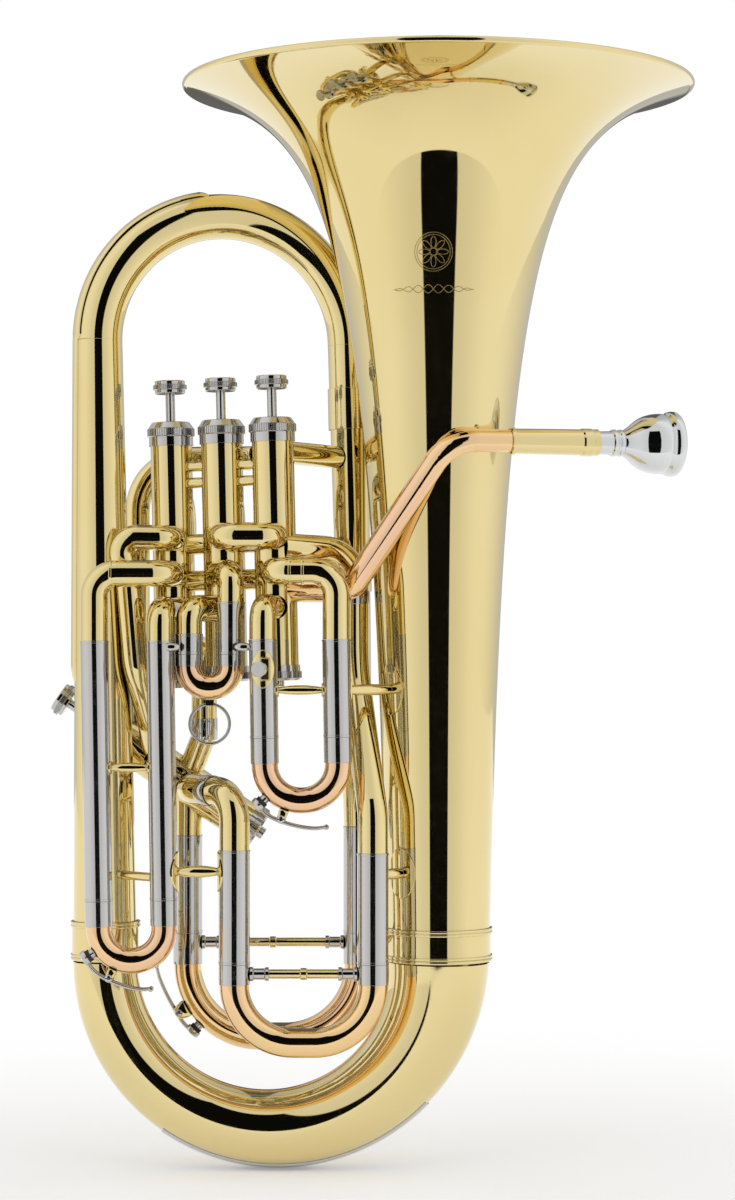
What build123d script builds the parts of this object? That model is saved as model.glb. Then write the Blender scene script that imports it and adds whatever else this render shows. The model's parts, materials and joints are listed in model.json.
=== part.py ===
from build123d import *
import os
from dataclasses import dataclass
from math import cos, radians, sin, sqrt

# A four-valve compensating euphonium, bell up. Millimetres, +Z up.
# The player's hand side faces -Y, the bell stands at +X and the small tubes at -X.
# The frame's origin lies under the middle of the whole instrument, level with its lowest point.

# ---------------------------------------------------------------- driving dimensions
BELL_X = 41.28              # bell axis, from the middle of the instrument
WALL = 0.7                  # sheet thickness of the body tubes
SLIDE_WALL = 0.5            # wall of sleeves and slide legs
RUNNING = 0.05              # radial clearance of a leg in its sleeve

# bell: radius = SCALE * (depth + SHIFT) ** -POWER - DROP + TAPER * depth
HORN_SCALE = 429.5
HORN_SHIFT = 13.8
HORN_POWER = 0.269
HORN_DROP = 60.0
HORN_TAPER = 0.0223
MOUTH_Z = 646.0             # where the sheet meets the rolled rim
RIM_WIRE = 1.9              # radius of the rolled rim
RIM_TOP = 648.8             # the rim's flat, on which the instrument stands when turned over
BELL_FOOT_Z = 144.0         # lower end of the bell

# bows and branches
LEFT_X = -199.4             # small end of the bottom bow, from the bell axis
LEFT_Y = 4.0
LEFT_TOP_X = -203.2
BOTTOM_BOW_Z = 123.47       # height of the bottom bow's two ends
LEFT_FOOT_Z = 128.0
TOP_BOW_Z = 495.7
BOW_BIG_R = 30.6
BOW_MID_R = 22.9
BOW_SMALL_R = 19.2
BRANCH_TOP_R = 13.8
BOW_APEX_R = 13.5
RIGHT_TOP = (-54.2, 40.0)
RIGHT_FOOT = (-48.0, 40.0)
RIGHT_TOP_R = 12.3
RIGHT_FOOT_R = 8.6
RIGHT_JOINT_Z = 432.0
FERRULE_WALL = 0.8
GUARD_THICKNESS = 0.8
BOW_GUARD_INNER = 112.0
BOW_GUARD_OUTER = 150.0
BOW_GUARD_ARC = (237.0, 81.0)
BOW_GUARD_HALF_WIDTH = 11.0
HAND_GUARD_THICKNESS = 2.2
HAND_GUARD_HALF_WIDTH = 7.0
HAND_GUARD_FOOT_Z = 291.0

# valve block, in its own tilted frame: z = 0 is the underside of the top caps
TILT = 1.3
BLOCK_ORIGIN = (-129.6, 0.0, 436.7)
VALVE_PITCH = 32.8
ROW_ANGLE = -19.6
CASING_R = 12.5
CASING_BORE_R = 11.0
CASING_LENGTH = 138.0
CASING_4_LENGTH = 103.0
VALVE_4_Y = 37.5
VALVE_4_ANGLE = 34.0
VALVE_4_TOP = (-200.3, 261.1)
PORT_R = 6.9
LEVEL_CROSS = -59.5
LEVEL_OUT = -81.0
LEVEL_RETURN = -102.0
LEVELS = (LEVEL_CROSS, LEVEL_OUT, LEVEL_RETURN)
LEVELS_4 = (-35.0, -52.0, -69.0)
COMP_HIGH = -34.0
COMP_LOW = -66.0
COMP_ANGLE = 86.0

# caps, pistons and buttons
CAP_HEIGHT = 10.9
CAP_R = 14.2
CAP_SKIRT_R = 13.3
CAP_TOP_R = 11.4
CAP_FLOOR = 2.4
CAP_SKIRT = 3.4             # how far the top cap's plain skirt reaches down the casing
SKIRT_CLEARANCE = 0.1       # between a cap's skirt and the tubes that pass it
CAP_KNURL = (2.6, 6.8)      # the top cap's knurled band, from and to
BOTTOM_CAP_HEIGHT = 7.5
NIPPLE_R = 3.6
NIPPLE_HEIGHT = 3.5
STEM_R = 2.85
STEM_CLEARANCE = 0.1
BUTTON_R = 10.1
BUTTON_HEIGHT = 7.8
BUTTON_TOP = 35.9
BUTTON_4_TOP = 36.6
VALVE_TRAVEL = 15.0
PISTON_TOP = -8.0
PISTON_WALL = 0.9
PISTON_LENGTH = 104.0
PISTON_4_LENGTH = 69.0
SPRING_WIRE = 0.5
SPRING_R = 7.5
SPRING_TURNS = 6

# slides
SLEEVE_R = 8.2
MAIN_SLEEVE_R = 8.9
FOURTH_SLEEVE_R = 9.2
COMP_SLEEVE_R = 7.6
SLIDE_TILT = 0.9
THIRD_Y = -36.0
FIRST_Y = -42.0
SECOND_Y = -30.0
FOURTH_Y = -38.0
MAIN_Y = 40.0

# leadpipe and mouthpiece
LEADPIPE_START_R = 6.6
LEADPIPE_END_R = 7.9
RECEIVER_START = (40.5, -51.0, 431.9)
RECEIVER_YAW = 17.0
RECEIVER_LENGTH = 54.5

# the lyre holder on the first slide's left sleeve
LYRE_Z = 299.0
LYRE_BLOCK = (5.4, 5.4, 13.0)
LYRE_SOCKET = 3.4
LYRE_PLATE = (13.4, 22.5, 1.2)      # width, height and thickness

# pull ring under the second slide
PULL_RING_R = 11.7
PULL_RING_WIRE = 0.95

# water keys; heights are measured out from the crook's outside
PIN_R = 1.0
PIVOT_HEIGHT = 5.0
CORK_R = 3.6
CUP_R = 4.6
NIPPLE_TOP = 1.8
CORK_TOP = 4.6
CUP_TOP = 5.8
LEVER_THICKNESS = 2.0
LEVER_WIDTH = 5.0
BARREL_R = 2.3
BARREL_HALF = 2.9
SADDLE_HALF = 4.4
SADDLE_GAP = 3.0

os.makedirs("parts", exist_ok=True)


def at(x, y, z):
    """A point given from the bell's axis, in the instrument's frame."""
    return Vector(x + BELL_X, y, z)


def finish(part, name):
    """Names a sub-part and writes it."""
    part.label = name
    export_step(part, f"parts/{name}.step")


# ---------------------------------------------------------------- shared shapes
def route(points, bends):
    """A bent centreline through the points, rounded at each inner corner."""
    with BuildLine() as line:
        if len(points) > 2:
            FilletPolyline(*points, radius=bends)
        else:
            Polyline(*points)
    return line.wire()


def taper_tube(points, radii, bends, wall=WALL, proud=0.0):
    """A hollow tube along a bent line; its radius runs through the given radii, evenly spaced."""
    path = route(points, bends)
    steps = len(radii) - 1
    with BuildPart() as tube:
        for change, mode in ((proud, Mode.ADD), (-wall, Mode.SUBTRACT)):
            for index, radius in enumerate(radii):
                place = index / steps
                with BuildSketch(Plane(path @ place, z_dir=path % place)):
                    Circle(radius + change)
            sweep(path=path, multisection=True, mode=mode)
    return tube.part


def plain_tube(points, radius, bends, wall=WALL):
    """A hollow tube of one radius along a bent line."""
    path = route(points, bends)
    with BuildPart() as tube:
        with BuildSketch(Plane(path @ 0, z_dir=path % 0)):
            Circle(radius)
            Circle(radius - wall, mode=Mode.SUBTRACT)
        sweep(path=path)
    return tube.part


def plane_along(start, direction):
    """A plane at start whose normal is the direction."""
    return Plane(start, z_dir=direction)


def cut_by_casings(shape, *valves):
    """Trims a tube where it meets the valve casings and the skirts of their top caps."""
    with BuildPart() as trimmed:
        add(shape)
        for valve in valves:
            with BuildSketch(valve):
                Circle(CASING_R)
            extrude(amount=-CASING_LENGTH, mode=Mode.SUBTRACT)
            with BuildSketch(valve.offset(-CAP_SKIRT - SKIRT_CLEARANCE)):
                Circle(CAP_SKIRT_R + SKIRT_CLEARANCE)
            extrude(amount=CAP_HEIGHT, mode=Mode.SUBTRACT)
    return largest(trimmed.part)


def largest(shape):
    """The biggest solid of a cut shape."""
    return shape.solids().sort_by(SortBy.VOLUME)[-1]


def spindle(start, end, waist, belly):
    """A cigar-shaped brace rod between two points."""
    length = (end - start).length
    with BuildPart() as rod:
        with BuildSketch(Plane.XZ):
            with BuildLine():
                Polyline((0, length), (0, 0), (waist, 0))
                Spline((waist, 0), (belly, length / 2), (waist, length))
                Line((waist, length), (0, length))
            make_face()
        revolve(axis=Axis.Z)
    return plane_along(start, end - start).location * rod.part


def turned(outline):
    """A part turned on a lathe about Z from its half outline of (radius, height) points."""
    with BuildPart() as shape:
        with BuildSketch(Plane.XZ):
            with BuildLine():
                Polyline(*outline, close=True)
            make_face()
        revolve(axis=Axis.Z)
    return shape.part


def horn_radius(depth):
    """The bell's outer radius at a depth below its mouth."""
    return HORN_SCALE * (depth + HORN_SHIFT) ** -HORN_POWER - HORN_DROP + HORN_TAPER * depth


def horn_point(depth, inset=0.0):
    """A point of the bell's profile (radius, height), moved inwards by the inset."""
    step = 0.1
    slope = (horn_radius(depth + step) - horn_radius(depth)) / step
    length = sqrt(1 + slope * slope)
    radius = horn_radius(depth) - inset / length
    return (radius, MOUTH_Z - depth - inset * slope / length)


# ---------------------------------------------------------------- bell and body
def make_bell():
    """The flared bell with its rolled rim."""
    foot_depth = MOUTH_Z - BELL_FOOT_Z
    depths = (0, 4, 9, 16, 26, 40, 60, 90, 130, 180, 250, 340, 430, foot_depth)
    outside = [horn_point(depth) for depth in depths]
    inside = [horn_point(depth, WALL) for depth in depths]
    outside[-1] = (outside[-1][0], BELL_FOOT_Z)
    inside[-1] = (inside[-1][0], BELL_FOOT_Z)
    mouth_r = outside[0][0]
    wire_z = MOUTH_Z + RIM_WIRE - WALL
    with BuildPart() as bell:
        with BuildSketch(Plane.XZ):
            with BuildLine():
                Spline(*outside)
                Line(outside[-1], inside[-1])
                Spline(*inside)
                Line(inside[0], outside[0])
            make_face()
        revolve(axis=Axis.Z)
        with BuildSketch(Plane.XZ):
            with Locations((mouth_r - RIM_WIRE / 2, wire_z)):
                Circle(RIM_WIRE)
            with Locations((mouth_r, RIM_TOP + RIM_WIRE)):
                Rectangle(4 * RIM_WIRE, 2 * RIM_WIRE, mode=Mode.SUBTRACT)
        revolve(axis=Axis.Z)
    finish(Pos(BELL_X, 0, 0) * bell.part, "bell")


def horn_solid(offset):
    """The bell's lower outside as a solid, swollen by the offset, to shape what is soldered to it."""
    depths = (100, 150, 210, 280, 360, 440, MOUTH_Z - BELL_FOOT_Z)
    outline = [horn_point(depth, -offset) for depth in depths]
    with BuildPart() as horn:
        with BuildSketch(Plane.XZ):
            with BuildLine():
                Spline(*outline)
                Polyline(outline[-1], (0, outline[-1][1]), (0, outline[0][1]), outline[0])
            make_face()
        revolve(axis=Axis.Z)
    return Pos(BELL_X, 0, 0) * horn.part


def half_bow(start, end, height, direction):
    """The wire of a half-round bow between two upright tubes."""
    first = at(*start, height)
    last = at(*end, height)
    half = (last - first).length / 2
    crown = (first + last) / 2 + Vector(0, 0, direction * half)
    with BuildLine() as bow:
        ThreePointArc(first, crown, last)
    return bow.wire()


def bow_tube(bow, radii, wall=WALL, proud=0.0):
    """A tapering tube along a half-round bow."""
    steps = len(radii) - 1
    with BuildPart() as tube:
        for change, mode in ((proud, Mode.ADD), (-wall, Mode.SUBTRACT)):
            for index, radius in enumerate(radii):
                place = index / steps
                with BuildSketch(Plane(bow @ place, z_dir=bow % place)):
                    Circle(radius + change)
            sweep(path=bow, multisection=True, mode=mode)
    return tube.part


BOTTOM_BOW = half_bow((0, 0), (LEFT_X, LEFT_Y), BOTTOM_BOW_Z, -1)
BOTTOM_RADII = (BOW_BIG_R, BOW_MID_R, BOW_SMALL_R)
TOP_BOW = half_bow((LEFT_TOP_X, LEFT_Y), RIGHT_TOP, TOP_BOW_Z, 1)
TOP_RADII = (BRANCH_TOP_R, BOW_APEX_R, RIGHT_TOP_R)
LEFT_BRANCH = (at(LEFT_X, LEFT_Y, LEFT_FOOT_Z), at(LEFT_TOP_X, LEFT_Y, TOP_BOW_Z))
LEFT_RADII = (BOW_SMALL_R, 16.6, BRANCH_TOP_R)
RIGHT_BRANCH = (at(*RIGHT_TOP, TOP_BOW_Z), at(*RIGHT_FOOT, 202.4))
RIGHT_RADII = (RIGHT_TOP_R, 10.6, RIGHT_FOOT_R)


def make_body_tubes():
    """The two bows and the two branches between them."""
    finish(bow_tube(BOTTOM_BOW, BOTTOM_RADII), "bottom_bow")
    finish(bow_tube(TOP_BOW, TOP_RADII), "top_bow")
    finish(taper_tube(LEFT_BRANCH, LEFT_RADII, None), "left_branch")
    finish(taper_tube(RIGHT_BRANCH, RIGHT_RADII, None), "right_branch")


def make_body_ferrules():
    """The soldered sleeves that join bell, bows and branches."""
    joints = (
        (plane_along(at(0, 0, 124.5), Vector(0, 0, 1)), BOW_BIG_R + 0.25, 19.5, (0.0, 17.0)),
        (plane_along(at(LEFT_X, LEFT_Y, 124.5), Vector(0, 0, 1)), BOW_SMALL_R + 0.1, 23.0, (0.0, 21.0)),
    )
    with BuildPart() as ferrules:
        for plane, radius, height, beads in joints:
            with BuildSketch(plane):
                Circle(radius + FERRULE_WALL)
                Circle(radius, mode=Mode.SUBTRACT)
            extrude(amount=height)
            for bead in beads:
                with BuildSketch(plane.offset(bead)):
                    Circle(radius + FERRULE_WALL + 0.5)
                    Circle(radius + 0.4, mode=Mode.SUBTRACT)
                extrude(amount=2.0)
        branch_down = RIGHT_BRANCH[1] - RIGHT_BRANCH[0]
        for height, radius, tall in ((RIGHT_JOINT_Z, 11.9, 25.0), (341.5, 10.5, 8.0)):
            share = (TOP_BOW_Z - height - tall / 2) / (TOP_BOW_Z - RIGHT_BRANCH[1].Z)
            middle = RIGHT_BRANCH[0] + branch_down * share
            with BuildSketch(plane_along(middle, branch_down * -1)):
                Circle(radius + FERRULE_WALL + 0.2)
                Circle(radius + 0.2, mode=Mode.SUBTRACT)
            extrude(amount=tall)
    finish(ferrules.part, "body_ferrules")


def make_bottom_guard():
    """A nickel strip that saves the bottom bow from scratches."""
    swollen = bow_tube(BOTTOM_BOW, BOTTOM_RADII, wall=0.0, proud=GUARD_THICKNESS)
    centre = (BOTTOM_BOW @ 0 + BOTTOM_BOW @ 1) / 2
    face = Plane(centre, x_dir=BOTTOM_BOW @ 0 - BOTTOM_BOW @ 1, z_dir=Vector(-LEFT_Y, LEFT_X, 0))
    with BuildPart() as guard:
        add(swollen)
        with BuildSketch(face):
            with BuildLine():
                inner = CenterArc((0, 0), BOW_GUARD_INNER, *BOW_GUARD_ARC)
                outer = CenterArc((0, 0), BOW_GUARD_OUTER, *BOW_GUARD_ARC)
                Line(inner @ 0, outer @ 0)
                Line(inner @ 1, outer @ 1)
            make_face()
        extrude(amount=BOW_GUARD_HALF_WIDTH, both=True, mode=Mode.INTERSECT)
    finish(guard.part, "bottom_guard")


def make_hand_guard():
    """A raised brass strip along the outside of the left branch and the top bow."""
    bow_sleeve = bow_tube(TOP_BOW, TOP_RADII, wall=0.0, proud=HAND_GUARD_THICKNESS)
    branch_sleeve = taper_tube(LEFT_BRANCH, LEFT_RADII, None, wall=0.0, proud=HAND_GUARD_THICKNESS)
    centre = (TOP_BOW @ 0 + TOP_BOW @ 1) / 2
    across = TOP_BOW @ 1 - TOP_BOW @ 0
    radius = across.length / 2
    with BuildPart() as on_bow:
        add(bow_sleeve)
        with BuildSketch(Plane(centre, x_dir=across, z_dir=Vector(across.Y, -across.X, 0))):
            with BuildLine():
                inner = CenterArc((0, 0), radius + 6, 97, 83)
                outer = CenterArc((0, 0), radius + 24, 97, 83)
                Line(inner @ 0, outer @ 0)
                Line(inner @ 1, outer @ 1)
            make_face()
        extrude(amount=HAND_GUARD_HALF_WIDTH, both=True, mode=Mode.INTERSECT)
    with BuildPart() as on_branch:
        add(branch_sleeve)
        tall = TOP_BOW_Z - HAND_GUARD_FOOT_Z
        middle = at(LEFT_TOP_X - 16, LEFT_Y, HAND_GUARD_FOOT_Z + tall / 2)
        with Locations(middle):
            Box(20, 2 * HAND_GUARD_HALF_WIDTH, tall, mode=Mode.INTERSECT)
    with BuildPart() as guard:
        add(on_bow.part)
        add(on_branch.part)
    finish(guard.part, "hand_guard")


# ---------------------------------------------------------------- valve block
def block_plane():
    """The valve block's tilted frame."""
    lean = radians(TILT)
    return Plane(at(*BLOCK_ORIGIN), x_dir=(cos(lean), 0, sin(lean)), z_dir=(-sin(lean), 0, cos(lean)))


def valve_plane(index):
    """The plane under the top cap of valve 1, 2 or 3, with its normal up the valve."""
    step = (2 - index) * VALVE_PITCH
    turn = radians(ROW_ANGLE)
    block = block_plane()
    origin = block.from_local_coords(Vector(step * cos(turn), step * sin(turn), 0))
    return Plane(origin, x_dir=block.x_dir, z_dir=block.z_dir)


def side_valve_plane():
    """The plane under the top cap of valve 4, which lies across the back at a slant."""
    slant = radians(VALVE_4_ANGLE)
    origin = at(VALVE_4_TOP[0], VALVE_4_Y, VALVE_4_TOP[1])
    return Plane(origin, x_dir=(sin(slant), 0, cos(slant)), z_dir=(-cos(slant), 0, sin(slant)))


VALVES = (valve_plane(1), valve_plane(2), valve_plane(3), side_valve_plane())
CASING_LENGTHS = (CASING_LENGTH,) * 3 + (CASING_4_LENGTH,)
PISTON_LENGTHS = (PISTON_LENGTH,) * 3 + (PISTON_4_LENGTH,)
BUTTON_TOPS = (BUTTON_TOP,) * 3 + (BUTTON_4_TOP,)
PORT_LEVELS = (LEVELS,) * 3 + (LEVELS_4,)


def in_valve(index, x, y, z):
    """A point given in a valve's own frame."""
    return VALVES[index - 1].from_local_coords(Vector(x, y, z))


def make_casings():
    """Four valve casings, open at both ends and bored for the ports on the side they face."""
    for index, plane in enumerate(VALVES, start=1):
        length = CASING_LENGTHS[index - 1]
        with BuildPart() as casing:
            with BuildSketch(Plane.XY.offset(-length)):
                Circle(CASING_R)
                Circle(CASING_BORE_R, mode=Mode.SUBTRACT)
            extrude(amount=length)
            for level in PORT_LEVELS[index - 1]:
                with BuildSketch(Plane.XZ.offset(0)):
                    with Locations((0, level)):
                        Circle(PORT_R)
                extrude(amount=2 * CASING_R, mode=Mode.SUBTRACT)
        finish(plane.location * casing.part, f"valve_casing_{index}")


def knurl(radius, height, depth=0.3, teeth=60):
    """A knurled ring's cutters: straight grooves round a rim of the given radius."""
    with BuildPart() as grooves:
        with BuildSketch():
            with PolarLocations(radius, teeth):
                Rectangle(2 * depth, radius * 0.045)
        extrude(amount=height)
    return grooves.part


def make_caps():
    """Screwed caps that close the casings at both ends, one group for each end."""
    band_foot, band_top = CAP_KNURL
    top = (
        (STEM_R + STEM_CLEARANCE, CAP_HEIGHT),
        (CAP_TOP_R - 0.6, CAP_HEIGHT),
        (CAP_TOP_R, CAP_HEIGHT - 0.3),
        (CAP_R - 0.5, band_top + 0.4),
        (CAP_R, band_top),
        (CAP_R, band_foot),
        (CAP_SKIRT_R, band_foot - 0.5),
        (CAP_SKIRT_R, -CAP_SKIRT),
        (CASING_R, -CAP_SKIRT),
        (CASING_R, 0.0),
        (CASING_BORE_R, 0.0),
        (CASING_BORE_R, CAP_HEIGHT - CAP_FLOOR),
        (STEM_R + STEM_CLEARANCE, CAP_HEIGHT - CAP_FLOOR),
    )
    bottom = (
        (0, -BOTTOM_CAP_HEIGHT - NIPPLE_HEIGHT),
        (NIPPLE_R, -BOTTOM_CAP_HEIGHT - NIPPLE_HEIGHT),
        (NIPPLE_R, -BOTTOM_CAP_HEIGHT),
        (CAP_R - 1.4, -BOTTOM_CAP_HEIGHT),
        (CAP_R, -BOTTOM_CAP_HEIGHT + 1.4),
        (CAP_R, -2.2),
        (CAP_SKIRT_R, -2.2),
        (CAP_SKIRT_R, 1.5),
        (CASING_R, 1.5),
        (CASING_R, 0.0),
        (CASING_BORE_R, 0.0),
        (CASING_BORE_R, -BOTTOM_CAP_HEIGHT + CAP_FLOOR),
        (0, -BOTTOM_CAP_HEIGHT + CAP_FLOOR),
    )
    with BuildPart() as top_cap:
        add(turned(top))
        add(Pos(0, 0, band_foot) * knurl(CAP_R, band_top - band_foot), mode=Mode.SUBTRACT)
    with BuildPart() as bottom_cap:
        add(turned(bottom))
        add(Pos(0, 0, -BOTTOM_CAP_HEIGHT + 1.4) * knurl(CAP_R, 3.9), mode=Mode.SUBTRACT)
    foot_of = [plane.offset(-length) for plane, length in zip(VALVES, CASING_LENGTHS)]
    tops = [plane.location * top_cap.part for plane in VALVES]
    feet = [plane.location * bottom_cap.part for plane in foot_of]
    finish(Compound(children=[piece.solid() for piece in tops]), "valve_top_caps")
    finish(Compound(children=[piece.solid() for piece in feet]), "valve_bottom_caps")


def make_pistons():
    """Hollow pistons with three cross passages, each with its stem."""
    for index, plane in enumerate(VALVES, start=1):
        foot = PISTON_TOP - PISTON_LENGTHS[index - 1]
        radius = CASING_BORE_R - RUNNING
        passage_r = PORT_R + PISTON_WALL
        neck = BUTTON_TOPS[index - 1] - BUTTON_HEIGHT + 3
        with BuildPart() as piston:
            with BuildSketch(Plane.XY.offset(foot)):
                Circle(radius)
            extrude(amount=PISTON_TOP - foot)
            with BuildSketch(Plane.XY.offset(foot)):
                Circle(radius - PISTON_WALL)
            extrude(amount=PISTON_TOP - foot - 2, mode=Mode.SUBTRACT)
            for level in PORT_LEVELS[index - 1]:
                with BuildSketch(Plane.XZ):
                    with Locations((0, level)):
                        Circle(passage_r)
                extrude(amount=radius, both=True)
            with BuildSketch(Plane.XY.offset(foot)):
                Circle(radius)
            extrude(amount=PISTON_TOP - foot, mode=Mode.INTERSECT)
            for level in PORT_LEVELS[index - 1]:
                with BuildSketch(Plane.XZ):
                    with Locations((0, level)):
                        Circle(PORT_R)
                extrude(amount=2 * radius, both=True, mode=Mode.SUBTRACT)
            with BuildSketch(Plane.XY.offset(foot)):
                Circle(radius - PISTON_WALL)
            extrude(amount=1.5)
            with BuildSketch(Plane.XY.offset(PISTON_TOP)):
                Circle(STEM_R)
            extrude(amount=neck - PISTON_TOP)
        finish(plane.location * piston.part, f"piston_{index}")


def make_buttons():
    """Finger buttons screwed on the piston stems: a dished top and a knurled band."""
    rim = BUTTON_R - 1.0
    outline = (
        (0, -0.7),
        (rim * 0.6, -0.6),
        (rim * 0.85, -0.2),
        (rim - 0.4, 0),
        (rim, -0.5),
        (rim, -2.3),
        (BUTTON_R, -2.7),
        (BUTTON_R, -5.2),
        (rim, -5.6),
        (rim, -7.3),
        (rim - 0.5, -BUTTON_HEIGHT),
        (STEM_R, -BUTTON_HEIGHT),
        (STEM_R, 3 - BUTTON_HEIGHT),
        (0, 3 - BUTTON_HEIGHT),
    )
    for index, plane in enumerate(VALVES, start=1):
        with BuildPart() as button:
            add(turned(outline))
            add(Pos(0, 0, -5.2) * knurl(BUTTON_R, 2.5), mode=Mode.SUBTRACT)
        top = plane.offset(BUTTON_TOPS[index - 1])
        finish(top.location * button.part, f"finger_button_{index}")


def make_springs():
    """Coil springs between the bottom caps and the pistons."""
    for index, plane in enumerate(VALVES, start=1):
        length = CASING_LENGTHS[index - 1]
        floor = -length - BOTTOM_CAP_HEIGHT + CAP_FLOOR + SPRING_WIRE
        height = PISTON_TOP - PISTON_LENGTHS[index - 1] - floor - SPRING_WIRE
        with BuildPart() as spring:
            with BuildLine():
                coil = Helix(height / SPRING_TURNS, height, SPRING_R)
            with BuildSketch(Plane(coil @ 0, z_dir=coil % 0)):
                Circle(SPRING_WIRE * 0.8)
            sweep(path=coil, is_frenet=True)
        finish(plane.offset(floor).location * spring.part, f"valve_spring_{index}")


# ---------------------------------------------------------------- slides
@dataclass
class Slide:
    """A tuning slide: two sleeves, and the crook whose legs run in them."""

    name: str
    tops: tuple             # where the two sleeves begin
    down: Vector            # the way the crook is pulled
    mouth: float            # distance from the lower sleeve top to the sleeves' mouths
    sleeve_r: float
    ferrule: float          # length of the crook's own ferrules
    depth: float            # from the ferrules' ends to the crook's centreline
    engaged: float          # length of leg inside a sleeve

    def heights(self):
        """Where each sleeve top lies along the pulling direction."""
        return [top.dot(self.down) for top in self.tops]

    def mouths(self):
        """The two sleeve mouths, level with each other."""
        level = max(self.heights()) + self.mouth
        return [top + self.down * (level - own) for top, own in zip(self.tops, self.heights())]

    def leg_r(self):
        return self.sleeve_r - SLIDE_WALL - RUNNING


LEAN = Vector(sin(radians(SLIDE_TILT)), 0, -cos(radians(SLIDE_TILT)))
DOWN = Vector(0, 0, -1)

MAIN = Slide(
    "main_slide", (at(-152.1, MAIN_Y, 196.9), at(-48.0, MAIN_Y, 202.1)), DOWN,
    mouth=59.6, sleeve_r=MAIN_SLEEVE_R, ferrule=19.0, depth=44.5, engaged=55.0,
)
FIRST = Slide(
    "first_slide", (at(-103.5, FIRST_Y, 316.3), at(-60.6, FIRST_Y, 316.3)), LEAN,
    mouth=57.0, sleeve_r=SLEEVE_R, ferrule=15.0, depth=22.0, engaged=53.0,
)
SECOND = Slide(
    "second_slide", (at(-147.6, SECOND_Y, 319.5), at(-122.8, SECOND_Y, 338.4)), DOWN,
    mouth=11.8, sleeve_r=SLEEVE_R, ferrule=7.0, depth=12.6, engaged=28.0,
)
THIRD = Slide(
    "third_slide", (at(-202.6, THIRD_Y, 315.4), at(-164.1, THIRD_Y, 315.4)), LEAN,
    mouth=152.0, sleeve_r=SLEEVE_R, ferrule=15.0, depth=20.5, engaged=146.0,
)
FOURTH = Slide(
    "fourth_slide", (at(-120.3, FOURTH_Y, 192.7), at(-39.1, FOURTH_Y, 191.0)), DOWN,
    mouth=65.0, sleeve_r=FOURTH_SLEEVE_R, ferrule=12.0, depth=34.5, engaged=60.0,
)


def comp_slide(index):
    """The small compensating slide behind valve 1, 2 or 3, pulled out backwards."""
    turn = radians(COMP_ANGLE)
    away = Vector(cos(turn), sin(turn), 0)
    reach = CASING_R + 4
    tops = [in_valve(index, 0, 0, level) + away * reach for level in (COMP_HIGH, COMP_LOW)]
    return Slide(
        f"comp_slide_{index}", tuple(tops), away,
        mouth=18.0, sleeve_r=COMP_SLEEVE_R, ferrule=5.0, depth=17.0, engaged=15.0,
    )


COMPS = tuple(comp_slide(index) for index in (1, 2, 3))
SLIDES = (MAIN, FIRST, SECOND, THIRD, FOURTH)

# each key's cork, pivot and finger tip, in degrees round the bend it sits on
KEY_LAYOUT = ((THIRD, 213, 246, 288), (FIRST, 223.5, 250, 292), (MAIN, 225, 211, 181))


def make_sleeves(slides, name):
    """The outer sleeves of slides, with a bead at each end."""
    with BuildPart() as sleeves:
        for slide in slides:
            for top, mouth in zip(slide.tops, slide.mouths()):
                length = (mouth - top).length
                plane = plane_along(top, slide.down)
                with BuildSketch(plane):
                    Circle(slide.sleeve_r)
                extrude(amount=length)
                with BuildSketch(plane, plane.offset(length - 1.2)):
                    Circle(slide.sleeve_r + 0.25)
                extrude(amount=1.2)
                with BuildSketch(plane):
                    Circle(slide.sleeve_r - SLIDE_WALL)
                extrude(amount=length, mode=Mode.SUBTRACT)
    finish(sleeves.part, name)


def crook_tube(slide):
    """The bent part of a slide, from ferrule to ferrule."""
    first, last = slide.mouths()
    inside = slide.ferrule / 2
    reach = slide.ferrule + slide.depth
    points = [
        first + slide.down * inside,
        first + slide.down * reach,
        last + slide.down * reach,
        last + slide.down * inside,
    ]
    radius = min((last - first).length / 2 - 0.3, slide.depth - 0.3)
    return plain_tube(points, slide.leg_r(), radius)


def leg_tubes(slide):
    """The two legs of a slide: each an inner tube with a ferrule that stops it at the sleeve."""
    pieces = []
    for top, mouth in zip(slide.tops, slide.mouths()):
        length = min((mouth - top).length - 2, slide.engaged)
        radius = slide.leg_r()
        outline = (
            (radius, length),
            (radius, -0.2),
            (slide.sleeve_r, -0.2),
            (slide.sleeve_r, -slide.ferrule),
            (radius, -slide.ferrule),
            (radius, -slide.ferrule / 2),
            (radius - SLIDE_WALL, -slide.ferrule / 2),
            (radius - SLIDE_WALL, length),
        )
        pieces.append(plane_along(mouth, -slide.down).location * turned(outline))
    return pieces


def knob(slide):
    """A pull knob on a short stem at the crown of a crook."""
    first, last = slide.mouths()
    crown = (first + last) / 2 + slide.down * (slide.ferrule + slide.depth + slide.leg_r() - 0.4)
    outline = ((0, 0), (1.6, 0), (1.6, 3), (3.6, 3.6), (4.2, 5.0), (4.2, 6.4), (3.4, 7.4), (0, 7.8))
    return plane_along(crown, slide.down).location * turned(outline)


def socket_brace(slide, drop):
    """A brace between a crook's two ferrules: turned sockets at the ends and a rod with a bead."""
    first, last = slide.mouths()
    across = (last - first).normalized()
    start = first + slide.down * drop + across * slide.sleeve_r
    end = last + slide.down * drop - across * slide.sleeve_r
    length = (end - start).length
    middle = length / 2
    socket = 11.0
    outline = (
        (0, 0), (4.2, 0), (4.2, 1.6), (3.3, 2.2), (3.3, socket - 2.6), (4.0, socket - 2.0),
        (4.0, socket), (0, socket),
    )
    rod = (
        (0, socket), (2.7, socket), (2.7, middle - 2.2), (3.5, middle - 1.6), (3.5, middle + 1.6),
        (2.7, middle + 2.2), (2.7, length - socket), (0, length - socket),
    )
    near = plane_along(start, across).location * turned(outline)
    far = plane_along(end, -across).location * turned(outline)
    return [near, far], plane_along(start, across).location * turned(rod)


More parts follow.
